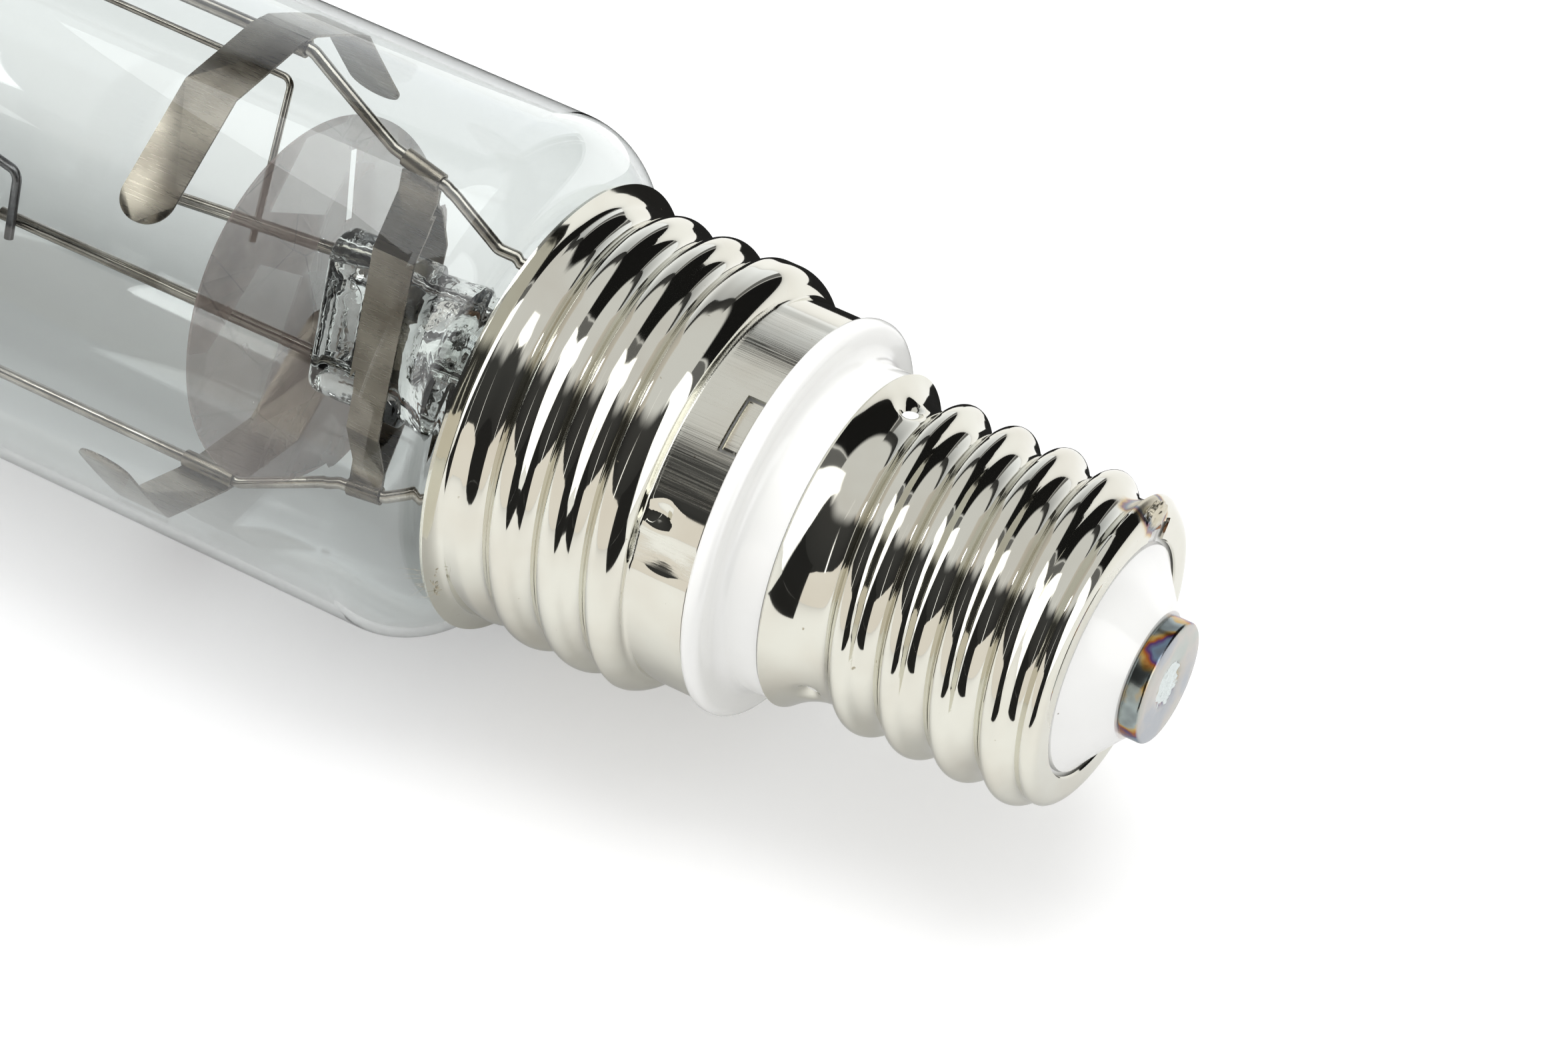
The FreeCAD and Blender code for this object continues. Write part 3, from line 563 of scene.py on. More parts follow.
def arc(cx: float, cr: float, radius: float, start: float, end: float, count: int) -> Profile:
    """Points on a circle in the profile's plane.

    Args:
        cx: Centre along the axis.
        cr: Centre's distance from the axis.
        radius: Radius of the arc.
        start: First angle in degrees, 0 along +X, 90 away from the axis.
        end: Last angle.
        count: Number of points.

    Returns:
        The points.
    """
    points = []
    for i in range(count):
        a = math.radians(start + (end - start) * i / (count - 1))
        points.append((cx + radius * math.cos(a), cr + radius * math.sin(a)))
    return points


def smooth(value: np.ndarray | float, start: float, end: float) -> np.ndarray | float:
    """Ease from 0 at start to 1 at end."""
    t = np.clip((value - start) / (end - start), 0, 1)
    return t * t * (3 - 2 * t)


def reshape(piece: Object, rule: Callable) -> None:
    """Move a turned mesh's vertices towards or away from the axis, and along it.

    Args:
        piece: The mesh.
        rule: From arrays x, azimuth in degrees and r in millimetres to new x and r.
    """
    count = len(piece.data.vertices)
    flat = np.empty(count * 3, np.float64)
    piece.data.vertices.foreach_get("co", flat)
    points = flat.reshape(-1, 3) / MM
    r = np.hypot(points[:, 1], points[:, 2])
    azimuth = np.degrees(np.arctan2(-points[:, 1], points[:, 2]))
    x, new_r = rule(points[:, 0].copy(), azimuth, r.copy())
    share = np.divide(new_r, r, out=np.ones_like(r), where=r > 1e-9)
    points = np.column_stack([x, points[:, 1] * share, points[:, 2] * share])
    piece.data.vertices.foreach_set("co", (points * MM).ravel())
    piece.data.update()


def near(azimuth: np.ndarray, centre: float, half: float) -> np.ndarray:
    """Bump of 1 at an azimuth that falls to 0 at half degrees from it."""
    away = np.abs((azimuth - centre + 180) % 360 - 180)
    return 1 - smooth(away, 0.0, half)


def dressed(piece: Object, finish: Finish, nodes: tuple[str, ...] = (),
            angle: float = 40.0) -> Object:
    """Finish a piece: material, smooth shading, the node it stands for and its body.

    Args:
        piece: The mesh.
        finish: Its material.
        nodes: CAD nodes that it replaces.
        angle: Edges sharper than this stay sharp.

    Returns:
        The piece.
    """
    activate(piece)
    bpy.ops.object.shade_smooth_by_angle(angle=math.radians(angle))
    piece.data.materials.clear()
    piece.data.materials.append(finish.material())
    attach(piece, "root")
    if nodes:
        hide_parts(*nodes)
    log.info("%s: %d faces", piece.name, len(piece.data.polygons))
    return piece


def from_node(node: str, name: str) -> Object:
    """Copy a CAD node's mesh and merge its loose triangles.

    Args:
        node: The node.
        name: Name of the copy.

    Returns:
        The copy.
    """
    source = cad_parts[node]
    piece = bpy.data.objects.new(name, source.data.copy())
    bpy.context.scene.collection.objects.link(piece)
    activate(piece)
    bpy.ops.object.mode_set(mode="EDIT")
    bpy.ops.mesh.select_all(action="SELECT")
    bpy.ops.mesh.remove_doubles(threshold=2e-6)
    bpy.ops.object.mode_set(mode="OBJECT")
    return piece


@dataclass(frozen=True)
class Thread:
    """Rolled round thread: crests and roots are arcs that meet on the flanks, in millimetres."""

    crest_x: float
    crest: float
    pitch: float
    crest_arc: float
    root_arc: float

    @property
    def depth(self) -> float:
        """From crest to root."""
        both = self.crest_arc + self.root_arc
        return both - math.sqrt(both ** 2 - (self.pitch / 2) ** 2)

    @property
    def mean(self) -> float:
        """Radius half-way between crest and root."""
        return self.crest - self.depth / 2

    def height(self, x: np.ndarray, azimuth: np.ndarray) -> np.ndarray:
        """Height over the mean radius of the single-start helix.

        Args:
            x: Places along the axis.
            azimuth: Azimuths in degrees.

        Returns:
            Heights in millimetres.
        """
        turns = (x - self.crest_x) / self.pitch - azimuth / 360
        away = np.abs(turns - np.round(turns)) * self.pitch
        flank = self.pitch / 2 * self.crest_arc / (self.crest_arc + self.root_arc)
        top = np.minimum(away, flank)
        foot = np.minimum(self.pitch / 2 - away, self.pitch / 2 - flank)
        fall = self.crest_arc - np.sqrt(self.crest_arc ** 2 - top ** 2)
        rise = self.root_arc - np.sqrt(self.root_arc ** 2 - foot ** 2)
        return np.where(away < flank, self.depth / 2 - fall, rise - self.depth / 2)

    def crest_at(self, azimuth: np.ndarray, number: float) -> np.ndarray:
        """Place of a crest along the axis; half numbers are roots."""
        return self.crest_x + self.pitch * (number + azimuth / 360)


def flare(x: np.ndarray, end_x: np.ndarray, low: float, mouth_x: float, high: float) -> np.ndarray:
    """Arc from a first root out to a mouth.

    Args:
        x: Places along the axis.
        end_x: Place of the root, where the arc ends level.
        low: Radius at the root.
        mouth_x: Place of the mouth.
        high: Radius at the mouth.

    Returns:
        Radii in millimetres.
    """
    rise = high - low
    length = np.maximum(end_x - mouth_x, rise * 0.7)
    arc_radius = (length ** 2 + rise ** 2) / (2 * rise)
    away = np.clip(end_x - x, 0, np.minimum(length, arc_radius))
    return low + arc_radius - np.sqrt(arc_radius ** 2 - away ** 2)


@dataclass(frozen=True)
class Dent:
    """Punched or crimped dent in a sheet; lengths in millimetres, angles in degrees."""

    azimuth: float
    half: float
    x: float
    length: float
    depth: float

    def at(self, x: np.ndarray, azimuth: np.ndarray) -> np.ndarray:
        """How far the sheet is pushed in at each place."""
        return self.depth * near(azimuth, self.azimuth, self.half) * np.exp(
            -((x - self.x) / self.length) ** 2)


@dataclass
class Cap:
    """Threaded skirt, moulding, screw shell, contact pin, side lead's weld and packing tuft."""

    shell_thread: Thread = Thread(7.87, 19.54, 6.35, 1.43, 2.1)
    skirt_thread: Thread = Thread(-32.42, 26.2, 6.4, 1.97, 1.85)
    shell_sheet: float = 0.3
    skirt_sheet: float = 0.5
    steps: int = 240
    shell_end: float = 33.6
    opening: float = 14.3
    mouth: float = 20.35
    rim_x: float = -39.6
    rim: float = 27.68
    band: float = 25.5
    bulge_x: float = -18.9
    bulge_arc: float = 3.6
    collar_x: float = -15.5
    skirt_end: float = -8.15
    collar_radius: float = 23.5
    notch_azimuth: float = -38.0
    notch_half: float = 2.3
    notch_reach: float = 16.7
    slot_place: Triple = (37.75, 0.0, 15.05)
    slot_size: Triple = (10.0, 3.8, 2.7)
    weld_azimuth: float = -31.0
    weld_place: Triple = (33.15, 0.0, 17.3)
    weld_size: Triple = (0.8, 2.7, 1.9)
    # The thread's run-out starts one turn later on the far side of these azimuths
    run_out: tuple[float, float] = (-165.0, -85.0)
    tuft_azimuth: float = 101.0
    tuft_fibres: int = 18
    window: tuple[float, float] = (12.0, 30.0)
    rubbed: tuple[tuple[float, float], ...] = ((-22.5, 47.0), (57.5, 68.0))
    shell_dents: tuple[Dent, ...] = (Dent(-27.0, 8.0, 2.6, 1.0, 1.3),
                                     Dent(115.0, 8.0, 4.0, 1.0, 1.3))
    collar_dents: tuple[Dent, ...] = (Dent(52.0, 5.0, -13.4, 1.3, 0.75),
                                      Dent(63.5, 5.5, -11.6, 2.2, 0.6))

    def build_shell(self) -> Object:
        """Screw shell with its helical thread, end notch and two punched dents."""
        mean = self.shell_thread.mean
        bend = 2.0
        profile = [(x, mean) for x in np.arange(0.0, self.shell_end - bend, 0.25)]
        profile += arc(self.shell_end - bend, mean - bend, bend, 90, 0, 9)
        profile += [(self.shell_end, r) for r in np.arange(mean - bend - 0.35, self.opening, -0.4)]
        profile += [(self.shell_end, self.opening + 0.15), (self.shell_end - 0.2, self.opening)]
        shell = spun("screw_shell_sheet", [(float(x), float(r)) for x, r in profile], self.steps)

        def roll(x: np.ndarray, azimuth: np.ndarray, r: np.ndarray) -> tuple:
            """Give the sheet its helix, flared mouth and dents."""
            thread = self.shell_thread
            low = thread.mean - thread.depth / 2
            wave = thread.mean + thread.height(x, azimuth)
            first = thread.crest_at(azimuth, -0.5)
            near_run = np.where(x < first, flare(x, first, low, 0.0, self.mouth), wave)
            second = first + thread.pitch
            far_run = np.where(x < second, flare(x, second, low, 0.0, self.mouth), wave)
            share = smooth(azimuth, *self.run_out)
            formed = near_run * share + far_run * (1 - share)
            weight = 1 - smooth(x, 30.6, 33.0)
            dents = sum(dent.at(x, azimuth) for dent in self.shell_dents)
            return x, r + weight * (formed - thread.mean) - dents

        reshape(shell, roll)
        self.open_notch(shell)
        apply(shell, "SOLIDIFY", thickness=self.shell_sheet * MM, offset=-1)
        return dressed(shell, NickelPlate(), ("screw_shell",), 50)

    def open_notch(self, shell: Object) -> None:
        """Take the notch for the side lead out of the end flange."""
        turn = Matrix.Rotation(math.radians(-self.notch_azimuth), 3, "X")

        def in_notch(centre: Vector) -> bool:
            """Whether a face lies in the notch."""
            centre = turn @ centre
            return (centre.x > self.shell_end - 0.9 and abs(centre.y) < self.notch_half
                    and 0 < centre.z < self.notch_reach)

        cut_out(shell, in_notch)

    def build_skirt(self) -> Object:
        """Threaded skirt: flared lip, band, ridges, bulge and collar with its locking tab."""
        mean = self.skirt_thread.mean
        profile = [(x, mean) for x in np.arange(self.rim_x, self.collar_x, 0.25)]
        profile += [(self.collar_x, self.collar_radius + 0.15)]
        profile += [(x, self.collar_radius) for x in np.arange(self.collar_x + 0.25, -10.7, 0.35)]
        profile += [(x, self.collar_radius) for x in (-10.6, -10.45, -9.6, -8.8)]
        profile.append((self.skirt_end, self.collar_radius))
        skirt = spun("cap_skirt_sheet", [(float(x), float(r)) for x, r in profile], self.steps)

        def roll(x: np.ndarray, azimuth: np.ndarray, r: np.ndarray) -> tuple:
            """Give the sheet its lip, band, helix and bulge, and press the collar."""
            thread = self.skirt_thread
            low = thread.mean - thread.depth / 2
            share = smooth(azimuth, *self.run_out)
            lip = (self.rim - self.band) * np.clip((self.rim_x + 1.2 - x) / 1.2, 0, 1) ** 1.6
            formed = 0.0
            for part, shift in ((share, 0), (1 - share, 1)):
                wave = thread.mean + thread.height(x, azimuth)
                first = thread.crest_at(azimuth, shift - 0.5)
                band = low + (self.band - low) * smooth(first - x, 0.0, 2.3)
                wave = np.where(x < first, band + lip, wave)
                last = thread.crest_at(azimuth, shift + 2)
                wave = np.where(x > last, thread.crest, wave)
                away = np.clip(x - self.bulge_x, 0, self.bulge_arc * 0.93)
                bulge = thread.crest - self.bulge_arc + np.sqrt(self.bulge_arc ** 2 - away ** 2)
                wave = np.where(x > self.bulge_x - 1.0, np.minimum(wave, bulge), wave)
                formed = formed + part * wave
            collar = x > self.collar_x - 0.01
            crimp = sum(dent.at(x, azimuth) for dent in self.collar_dents)
            pressed = 0.18 * smooth(azimuth, -24.0, -22.5) * (1 - smooth(azimuth, 46.5, 47.5))
            pressed += 0.28 * smooth(azimuth, 57.0, 58.0) * (1 - smooth(azimuth, 67.5, 68.3))
            return x, np.where(collar, r - crimp - pressed, formed)

        reshape(skirt, roll)
        self.open_window(skirt)
        apply(skirt, "SOLIDIFY", thickness=self.skirt_sheet * MM, offset=-1)
        dressed(skirt, NickelPlate(), ("cap_skirt",), 50)
        skirt.data.materials.append(BrushedCollar().material())
        for face in skirt.data.polygons:
            azimuth = azimuth_of(face.center)
            rubbed = any(low < azimuth < high for low, high in self.rubbed)
            if face.center.x / MM > self.collar_x - 0.1 and rubbed:
                face.material_index = 1
        return skirt

    def open_window(self, skirt: Object) -> None:
        """Punch the locking tab's window into the collar's edge."""
        low, high = self.window
        cut_out(skirt, lambda centre: (-10.5 < centre.x < -8.0
                                       and low < azimuth_of(centre) < high))

    def build_tab(self) -> Object:
        """Locking tab bent down in the window and pressed on the moulding."""
        tab = spun("locking_tab", [(-10.35, 22.55), (-10.2, 22.85), (-9.9, 22.98), (-9.2, 23.0),
                                   (-8.3, 22.98)], 360)
        low, high = self.window
        cut_out(tab, lambda centre: not low + 1.0 < azimuth_of(centre) < high - 1.0)
        apply(tab, "SOLIDIFY", thickness=0.3 * MM, offset=-1)
        apply(tab, "BEVEL", width=0.1 * MM, segments=2)
        return dressed(tab, BrushedCollar())

    def build_weld(self) -> Object:
        """Lump of melted sheet where the side lead is welded over the notch."""
        deselect()
        bpy.ops.mesh.primitive_ico_sphere_add(subdivisions=5, radius=1.0)
        weld = bpy.context.object
        weld.name = "side_lead_weld"
        seat = seated(self.weld_azimuth, self.weld_place, self.weld_size)
        for vertex in weld.data.vertices:
            grow = 1 + 0.16 * noise.noise(vertex.co * 2.1) + 0.1 * noise.noise(vertex.co * 6.0)
            vertex.co = seat @ (vertex.co * grow)
        return dressed(weld, NickelPlate(), (), 60)

    def build_moulding(self) -> Object:
        """White moulding: spigot, rounded flange, neck, sleeve and end cone with its slot."""
        sleeve = 17.2
        profile = [(-16.6, 12.7), (-16.6, 22.2), (-8.1, 22.2), (-8.1, 23.1)]
        profile += arc(-7.0, 23.2, 1.1, 175, 95, 8)
        profile += arc(-6.7, 23.2, 1.1, 85, 5, 8)
        profile += [(-5.6, 22.6), (-5.6, 21.8)] + arc(-4.0, 21.6, 1.6, 180, 270, 8)
        profile += [(-2.5, 20.0), (-0.4, 20.0), (0.6, sleeve), (31.2, sleeve), (32.7, 16.9),
                    (33.0, 16.5), (33.0, 13.9), (33.5, 13.7)]
        profile += [(33.5 + 4.6 * t, 13.7 - 6.0 * t ** 0.9)
                    for t in (0.1, 0.25, 0.45, 0.65, 0.85, 1.0)]
        profile += [(38.2, 6.6), (38.2, 2.65), (25.0, 2.65), (25.0, 12.7)]
        moulding = spun("insulator_moulding", [(float(x), float(r)) for x, r in profile], 144, True)
        cutter = self.slot_cutter()
        apply(moulding, "BOOLEAN", operation="DIFFERENCE", object=cutter, solver="EXACT")
        bpy.data.objects.remove(cutter)
        apply(moulding, "BEVEL", width=0.15 * MM, segments=2, limit_method="ANGLE",
              angle_limit=math.radians(50))
        return dressed(moulding, WhiteMoulding(), ("insulator",), 35)

    def slot_cutter(self) -> Object:
        """Block that opens the side lead's recess in the end of the moulding."""
        deselect()
        bpy.ops.mesh.primitive_cube_add(size=1)
        cutter = bpy.context.object
        cutter.data.transform(seated(self.notch_azimuth, self.slot_place, self.slot_size))
        return cutter

    def build_tuft(self) -> Object:
        """Loose ends of the fibre packing that stand out over the skirt's rim."""
        points: list[Vector] = []
        faces = []
        for number in range(self.tuft_fibres):
            shift = Vector((noise.noise(Vector((number * 1.7, k * 3.1, 0.5))) for k in range(3)))
            start = ring(-38.9, self.tuft_azimuth + 9.0 * shift.x, 26.4 + shift.y)
            out = ring(-0.75, self.tuft_azimuth, 0.5) / MM + shift * 1.1
            length = 2.6 + 1.6 * abs(shift.z)
            for step in range(6):
                share = step / 5
                drift = noise.noise_vector(Vector((number * 2.3, share * 1.6, 7.0))) * 0.7 * share
                middle = start + (out * share * length + drift) * MM
                thick = 0.04 * (1 - 0.7 * share) * MM
                for side in range(3):
                    turn = math.radians(120 * side)
                    points.append(middle + Vector((0.0, math.cos(turn), math.sin(turn))) * thick)
            first = number * 18
            for step in range(5):
                for side in range(3):
                    a = first + step * 3 + side
                    b = first + step * 3 + (side + 1) % 3
                    faces.append((a, b, b + 3, a + 3))
            faces += [(first, first + 2, first + 1), (first + 15, first + 16, first + 17)]
        tuft = plain_mesh("packing_tuft", points, [], faces)
        activate(tuft)
        bpy.ops.object.mode_set(mode="EDIT")
        bpy.ops.mesh.select_all(action="SELECT")
        bpy.ops.mesh.normals_make_consistent(inside=False)
        bpy.ops.object.mode_set(mode="OBJECT")
        return dressed(tuft, WovenTape())

    def build_pin(self) -> Object:
        """Contact pin: riveted head with a soft edge and a weld sunk in its face."""
        profile = [(25.1, 0.0), (25.1, 2.6), (38.2, 2.6), (38.2, 7.0)]
        profile += arc(38.55, 6.95, 0.35, 180, 90, 5) + arc(40.25, 6.85, 0.45, 90, 10, 7)
        profile += [(40.7, 6.0), (40.7, 4.4), (40.68, 3.2), (40.55, 2.5), (40.35, 1.6), (40.3, 0.8),
                    (40.3, 0.0)]
        pin = spun("contact_pin_rivet", profile, 96)
        for vertex in pin.data.vertices:
            p = vertex.co / MM
            radius = math.hypot(p.y, p.z)
            if p.x > 40.2 and radius < 3.3:
                lump = noise.noise(Vector((p.y, p.z, 3.1)) * 1.3)
                vertex.co.x += 0.22 * lump * MM * (1 - radius / 3.4)
        return dressed(pin, WeldedSteel(), ("contact_pin",), 35)

    def build(self) -> None:
        """All the cap's pieces."""
        self.build_shell()
        self.build_skirt()
        self.build_tab()
        self.build_weld()
        self.build_moulding()
        self.build_pin()
        self.build_tuft()


@dataclass
class Bulb:
    """Clear outer bulb with its dome, shoulder and neck."""

    radius: float = 32.5
    wall: float = 1.2
    neck: float = 23.4
    neck_wall: float = 1.5
    shoulder: float = 9.0
    shoulder_x: float = -50.2
    fillet: float = 3.0
    tip_x: float = -339.3
    neck_end: float = -17.3

    def outline(self, inset: float, neck_inset: float) -> Profile:
        """One skin of the bulb from the dome's tip to the neck's end."""
        centre_r = self.radius - self.shoulder
        fillet_r = self.neck + self.fillet
        span = self.shoulder + self.fillet
        fillet_x = self.shoulder_x + math.sqrt(span ** 2 - (fillet_r - centre_r) ** 2)
        slope = math.degrees(math.atan2(fillet_r - centre_r, fillet_x - self.shoulder_x))
        points = arc(self.tip_x + self.radius, 0, self.radius - inset, 180, 90, 40)
        points += [(x, self.radius - inset) for x in np.arange(-300.0, -54.0, 6.0)]
        points += arc(self.shoulder_x, centre_r, self.shoulder - inset, 90, slope, 22)
        points += arc(fillet_x, fillet_r, self.fillet + inset, 180 + slope, 270, 10)[1:]
        points += [(fillet_x + 3.0, self.neck - neck_inset)]
        points += [(self.neck_end, self.neck - neck_inset)]
        return [(float(x), max(float(r), 0.0)) for x, r in points]

    def build(self) -> Object:
        """The bulb as one closed wall of glass."""
        profile = self.outline(0, 0) + self.outline(self.wall, self.neck_wall)[::-1]
        bulb = spun("outer_bulb_glass", profile, 160)
        return dressed(bulb, ClearGlass(), ("outer_bulb",), 50)


@dataclass
class Mount:
    """Stem, mica disc, wire frame, straps, springs, leads and arc tube."""

    def build(self) -> None:
        """Dress every piece inside the bulb from its CAD node."""
        stem_glass = ClearGlass("pressed_stem_glass", "#F6F8F6", 1.52, 0.0, 2.5)
        quartz = ClearGlass("fused_quartz", "#F4F6F6", 1.46)
        rod = DrawnMetal("drawn_steel_rod", "#958E85", "#C4BEB5", 0.1)
        strip = DrawnMetal("rolled_steel_strip", "#6E665C", "#A29A8E", 0.24, 0.22,
                           (0.05, 1.0, 1.0), 9.0)
        tungsten = DrawnMetal("drawn_tungsten", "#4E4E50", "#77777A", 0.4)
        foil = DrawnMetal("rolled_molybdenum_foil", "#6C6B6C", "#8E8D8E", 0.3)
        lead = DrawnMetal("copper_clad_lead_wire", "#7C5A45", "#A87F62", 0.35)
        getter = DrawnMetal("sintered_getter_strip", "#3E3C3A", "#5A5755", 0.6)
        plan = [
            ("stem", "glass_stem", stem_glass, "stem_glass"),
            ("mica_disc", "mica_sheet", Mica(), "mica"),
            ("mount_frame", "frame_rod", rod, "steel_rod"),
            ("lead_rod_short", "short_lead_rod", rod, "steel_rod"),
            ("lead_rod_long", "long_lead_rod", rod, "steel_rod"),
            ("return_wire", "return_wire_rod", rod, "steel_rod"),
            ("arc_tube", "arc_tube_quartz", quartz, "quartz"),
            ("electrode_near", "electrode_near_tungsten", tungsten, "tungsten"),
            ("electrode_far", "electrode_far_tungsten", tungsten, "tungsten"),
            ("foil_near", "foil_near_strip", foil, "molybdenum"),
            ("foil_far", "foil_far_strip", foil, "molybdenum"),
            ("pinch_lead_near", "pinch_lead_near_wire", foil, "molybdenum"),
            ("pinch_lead_far", "pinch_lead_far_wire", foil, "molybdenum"),
            ("centre_lead", "centre_lead_wire", lead, "copper_lead"),
            ("side_lead", "side_lead_wire", lead, "copper_lead"),
            ("getter", "getter_strip", getter, "getter_metal"),
            ("neck_packing", "neck_packing_tape", WovenTape(), "fibre_tape"),
        ]
        for clamp in ("stem_clamp_front", "stem_clamp_back", "arc_clamp_near_front",
                      "arc_clamp_near_back", "arc_clamp_far_front", "arc_clamp_far_back",
                      "leaf_spring_near_upper", "leaf_spring_near_lower",
                      "leaf_spring_far_upper", "leaf_spring_far_lower"):
            plan.append((clamp, clamp + "_strip", strip, "spring_strip"))
        for node, name, finish, slot in plan:
            dressed(from_node(node, name), finish, (node,), 32)


def glowing(name: str, level: float) -> Material:
    """Black material that glows at a level."""
    made = bpy.data.materials.new(name)
    made.use_nodes = True
    feed(made.node_tree, made.node_tree.nodes["Principled BSDF"],
         {"Base Color": grey(0.0), "Specular IOR Level": 0.0, "Emission Color": grey(1.0),
          "Emission Strength": level})
    return made


def mirrored_only(piece: Object) -> None:
    """Keep a stage piece from the camera, the lamps' light and the shadows."""
    piece.visible_camera = False
    piece.visible_diffuse = False
    piece.visible_shadow = False


@dataclass(frozen=True)
class Card:
    """Curved card or soft-box front, placed by its directions from a point near the cap.

    Only the metal and the glass see it. Its stations are (azimuth, low, high) in degrees,
    with azimuths from +X towards +Y and elevations from the horizon. Its sides and its top
    fade out over some degrees. Its fade is the share of the glow lost at the top, or gained
    where it is negative.
    """

    name: str
    tone: Tone
    stations: tuple[Triple, ...]
    distance: float = 1.0
    fade: float = 0.0
    colour: str = "#FFFFFF"
    sides: float = 0.5
    top: float = 0.5
    eye: Triple = (0.0, 0.0, 0.0)

    def point(self, azimuth: float, elevation: float) -> Vector:
        """Point of the card in a direction given in degrees."""
        turn = math.radians(azimuth)
        rise = math.radians(elevation)
        flat = math.cos(rise)
        aim = Vector((math.cos(turn) * flat, math.sin(turn) * flat, math.sin(rise)))
        return Vector(self.eye) + aim * self.distance

    def build(self) -> Object:
        """The card as a mesh in the scene."""
        rows = 8
        marks = np.array(self.stations, float)
        turns = np.linspace(marks[0, 0], marks[-1, 0], 73)
        lows = np.interp(turns, marks[:, 0], marks[:, 1])
        highs = np.interp(turns, marks[:, 0], marks[:, 2])
        points = [self.point(turns[i], lows[i] + (highs[i] - lows[i]) * j / rows)
                  for i in range(len(turns)) for j in range(rows + 1)]
        faces = []
        for i in range(len(turns) - 1):
            for j in range(rows):
                first = i * (rows + 1) + j
                faces.append((first, first + rows + 1, first + rows + 2, first + 1))
        card = plain_mesh(self.name, points, [], faces)
        mesh = card.data
        # Degrees from the nearer side and below the top, as shares of the soft edges
        marks_uv = [(min(turns[i] - turns[0], turns[-1] - turns[i]) / self.sides,
                     (highs[i] - lows[i]) * (1 - j / rows) / self.top)
                    for i in range(len(turns)) for j in range(rows + 1)]
        layer = mesh.uv_layers.new(name="edge")
        for loop in mesh.loops:
            layer.data[loop.index].uv = marks_uv[loop.vertex_index]
        mesh.materials.append(self.material(float(lows.min()), float(highs.max())))
        mirrored_only(card)
        return card

    def material(self, low: float, high: float) -> Material:
        """A glow at the card's level, dimmer towards its top where it fades.

        Args:
            low: Lowest elevation of the card in degrees.
            high: Highest elevation.

        Returns:
            The material.
        """
        made = glowing(self.name, self.tone.value)
        tree = made.node_tree
        bottom = self.eye[2] + self.distance * math.sin(math.radians(low))
        top = self.eye[2] + self.distance * math.sin(math.radians(high))
        height = add(tree, "SeparateXYZ", {}, {0: add(tree, "TexCoord").outputs["Object"]})
        share = add(tree, "MapRange", {"From Min": bottom, "From Max": top},
                    {"Value": height.outputs["Z"]})
        red, green, blue, _ = linear(self.colour)
        left = 1 - self.fade
        glow = ramp(tree, share.outputs[0], [(0.0, (red, green, blue, 1.0)),
                                             (1.0, (red * left, green * left, blue * left, 1.0))])
        edges = add(tree, "SeparateXYZ", {}, {0: add(tree, "TexCoord").outputs["UV"]})
        side = add(tree, "MapRange", {}, {"Value": edges.outputs["X"]},
                   interpolation_type="SMOOTHSTEP")
        under = add(tree, "MapRange", {}, {"Value": edges.outputs["Y"]},
                    interpolation_type="SMOOTHSTEP")
        cover = add(tree, "Math", {}, {0: side.outputs[0], 1: under.outputs[0]},
                    operation="MULTIPLY")
        feed(tree, tree.nodes["Principled BSDF"], {},
             {"Emission Color": glow, "Alpha": cover.outputs[0]})
        return made


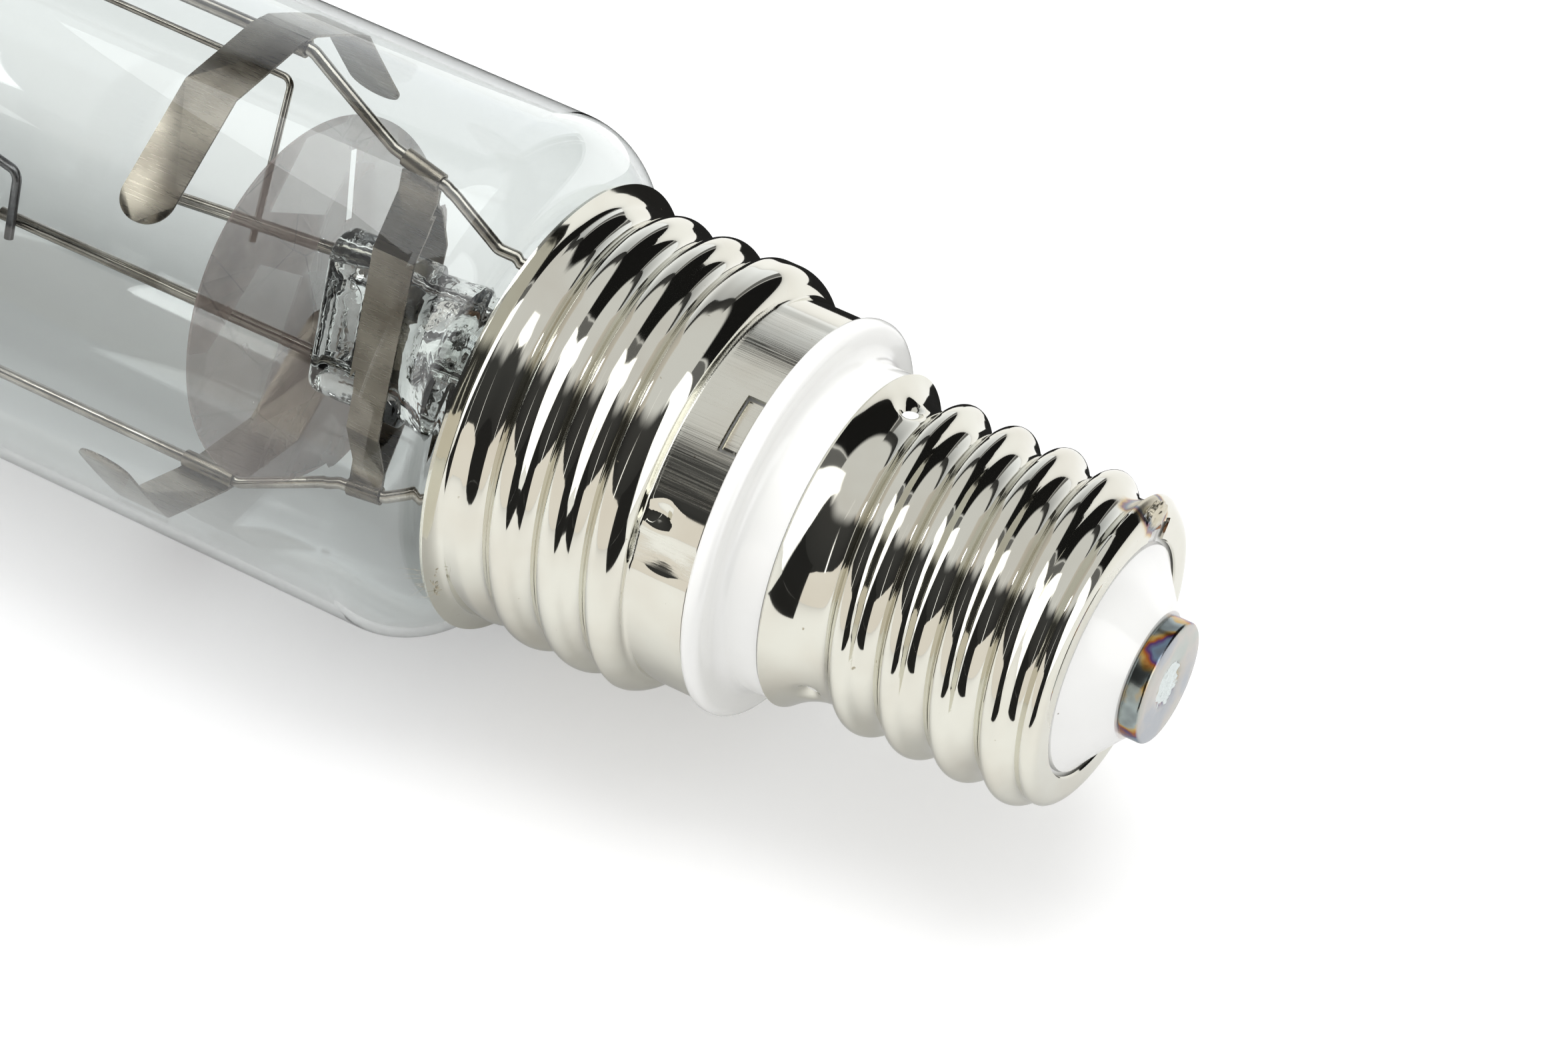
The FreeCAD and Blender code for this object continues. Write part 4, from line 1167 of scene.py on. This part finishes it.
@dataclass
class Studio:
    """Pale floor, soft boxes, cards and the camera."""

    lens: float = 129.94
    place: Triple = (0.212513, -0.365895, 0.477375)
    azimuth: float = 31.176
    elevation: float = 48.261
    cards: tuple[Card, ...] = (
        # In front: white paper that sweeps up, the dark room over it and the camera's stand
        Card("front_paper", Tone.PAPER, ((-178, -3, 4), (-150, -3, 15), (-135, -3, 21),
                                         (-120, -3, 26), (-66, -3, 26)), 1.3, 0.0, "#FFF9F2"),
        Card("front_room", Tone.ROOM, ((-174, 6, 36), (-164, 6, 43), (-155, 12, 52),
                                       (-148, 16, 62), (-135, 21, 66), (-120, 25, 69),
                                       (-100, 26, 72), (-80, 24, 72), (-70, 20, 71),
                                       (-29, 18, 66), (-25, 34, 64), (-12, 50, 62)),
             1.2, -2.0, top=13.0),
        Card("camera_stand", Tone.ROOM, ((-70, -3, 26), (-29, -3, 26)), 1.18),
        Card("gap_in_room", Tone.SOFT_BOX, ((-97.5, 25, 62), (-94, 25, 60)), 1.15, sides=1.2,
             top=20.0),
        Card("gap_over_room", Tone.PAPER, ((-134, 78, 81), (-118, 74, 77), (-106, 68, 72),
                                           (-97, 63, 66)), 1.15, sides=6.0, top=1.5),
        # At the cap's end: soft box, then a curtain
        Card("end_box", Tone.SOFT_BOX, ((-28, -3, 58), (-10, -3, 64), (15, -3, 58)), 1.25,
             top=4.0),
        Card("end_box_edge", Tone.HAZE, ((15, -3, 43), (24, -3, 42)), 1.25),
        Card("end_curtain", Tone.FELT, ((24, -3, 44), (87, -3, 45)), 1.2, sides=2.0, top=6.0),
        # Behind: bright panel under a dark band
        Card("back_panel_edge", Tone.HAZE, ((87, -3, 37), (94, -3, 37)), 1.2),
        Card("back_panel", Tone.PANEL, ((94, -3, 38), (148, -3, 36)), 1.2, 0.6, "#F7FAFF"),
        Card("back_band", Tone.ROOM, ((84, 36, 49), (150, 34, 45)), 1.1, -3.0, sides=2.0,
             top=4.0),
        # Beside the bulb: a wall, and the small soft box whose front shows in the glass
        Card("bulb_box", Tone.LAMP, ((-178, 47, 60), (-156, 47, 60)), 0.12,
             eye=(-0.1, 0.0, 0.02)),
        Card("side_wall", Tone.WALL, ((148, -3, 58), (215, -3, 60)), 1.4, -0.6, "#FFF8EE",
             sides=4.0, top=10.0),
    )
    table_back: tuple[tuple[float, float], ...] = ((0.026, 0.038), (0.006, 0.07), (-0.05, 0.08),
                                                   (-0.318, 0.509), (-0.59, 0.3), (-0.45, 0.038))
    table_end: tuple[tuple[float, float], ...] = ((0.051, -0.141), (0.41, -1.13), (1.05, -0.6),
                                                  (0.125, -0.071))

    def build_camera(self) -> None:
        """Camera at the photograph's place, angle and lens."""
        data = bpy.data.cameras.new("camera")
        data.lens = self.lens
        data.sensor_width = 36.0
        data.clip_start = 0.01
        data.clip_end = 50.0
        camera = bpy.data.objects.new("camera", data)
        camera.location = self.place
        camera.rotation_euler = (math.radians(90 - self.elevation), 0, math.radians(self.azimuth))
        bpy.context.scene.collection.objects.link(camera)
        bpy.context.scene.camera = camera

    def by_ray(self, tree: NodeTree, seen: float, mirrored: float,
               diffuse: float) -> NodeSocket:
        """A level for each kind of ray.

        Args:
            tree: Node tree.
            seen: Level for the camera, directly or through the glass.
            mirrored: Level in the metal.
            diffuse: Level for all other light.

        Returns:
            A value output.
        """
        rays = add(tree, "LightPath")
        straight = add(tree, "Math", {}, {0: rays.outputs["Is Camera Ray"],
                                          1: rays.outputs["Is Transmission Ray"]},
                       operation="MAXIMUM")
        other = add(tree, "MapRange", {"To Min": diffuse, "To Max": mirrored},
                    {"Value": rays.outputs["Is Glossy Ray"]})
        return add(tree, "MapRange", {"To Max": seen},
                   {"Value": straight.outputs[0], "To Min": other.outputs[0]}).outputs[0]

    def build_floor(self) -> None:
        """White table: it shows the shadow, and its light part renders white."""
        deselect()
        bpy.ops.mesh.primitive_plane_add(size=8, location=(0, 0, FLOOR_Z - 0.02 * MM))
        floor = bpy.context.object
        floor.name = "floor"
        made = bpy.data.materials.new("white_table")
        made.use_nodes = True
        tree = made.node_tree
        feed(tree, tree.nodes["Principled BSDF"],
             {"Base Color": grey(0.75), "Roughness": 0.6, "Specular IOR Level": 0.1,
              "Emission Color": grey(1.0)},
             {"Emission Strength": self.by_ray(tree, 0.3, 0.05, 0.0)})
        floor.data.materials.append(made)

    def build_world(self) -> None:
        """White to the camera and through the glass, a grey room in the metal, and soft light."""
        world = bpy.data.worlds.new("studio")
        world.use_nodes = True
        bpy.context.scene.world = world
        tree = world.node_tree
        tree.nodes.clear()
        # Over the table's horizon the glass shows the room, so its edges darken
        aim = add(tree, "SeparateXYZ", {}, {0: add(tree, "TexCoord").outputs["Generated"]})
        shade = ramp(tree, aim.outputs["Z"], [(0.02, grey(1.0)), (0.2, grey(0.3))])
        rays = add(tree, "LightPath")
        colour = add(tree, "Mix", {6: grey(1.0)}, {0: rays.outputs["Is Transmission Ray"],
                                                   7: shade}, data_type="RGBA")
        back = add(tree, "Background", {},
                   {"Color": colour.outputs[2],
                    "Strength": self.by_ray(tree, 1.0, Tone.CEILING.value, 0.9)})
        out = add(tree, "OutputWorld")
        tree.links.new(back.outputs[0], out.inputs["Surface"])

    def soft_box(self, name: str, place: Triple, size: tuple[float, float],
                 power: float) -> None:
        """Rectangular soft box that faces the lamp's cap.

        Args:
            name: Name of the lamp.
            place: Its middle in metres.
            size: Width and height in metres.
            power: Watts.
        """
        data = bpy.data.lights.new(name, "AREA")
        data.shape = "RECTANGLE"
        data.size, data.size_y = size
        data.energy = power
        box = bpy.data.objects.new(name, data)
        box.location = place
        aim = Vector((-0.03, 0, 0)) - Vector(place)
        box.rotation_euler = aim.to_track_quat("-Z", "Y").to_euler()
        box.visible_glossy = False
        bpy.context.scene.collection.objects.link(box)

    def build_dark(self, name: str, points: list[Triple]) -> None:
        """Dark stretch near the lamp that shows only as a reflection.

        Args:
            name: Name of the piece.
            points: Its corners in metres.
        """
        felt = plain_mesh(name, points, [], [tuple(range(len(points)))])
        felt.data.materials.append(glowing(name, Tone.ROOM.value))
        mirrored_only(felt)
        felt.visible_transmission = False

    def build(self) -> None:
        """The whole studio."""
        self.build_camera()
        self.build_floor()
        self.build_world()
        for card in self.cards:
            card.build()
        for name, corners in (("table_back", self.table_back), ("table_end", self.table_end)):
            self.build_dark(name, [(x, y, FLOOR_Z + 0.3 * MM) for x, y in corners])
        foot, top = FLOOR_Z, -2 * MM
        self.build_dark("low_strip", [(-0.3, 0.062, foot), (-0.005, 0.062, foot),
                                      (-0.005, 0.062, top), (-0.3, 0.062, top)])
        self.soft_box("top_box", (-0.10, 0.25, 0.95), (0.9, 0.7), 6.0)
        self.soft_box("side_box", (-0.75, -0.15, 0.55), (0.35, 0.6), 2.0)
        bpy.context.scene.view_settings.view_transform = "Standard"


def main() -> None:
    """Build the lamp and its studio, and note the sizes."""
    Cap().build()
    Bulb().build()
    Mount().build()
    Studio().build()


if __name__ == "__main__":
    main()
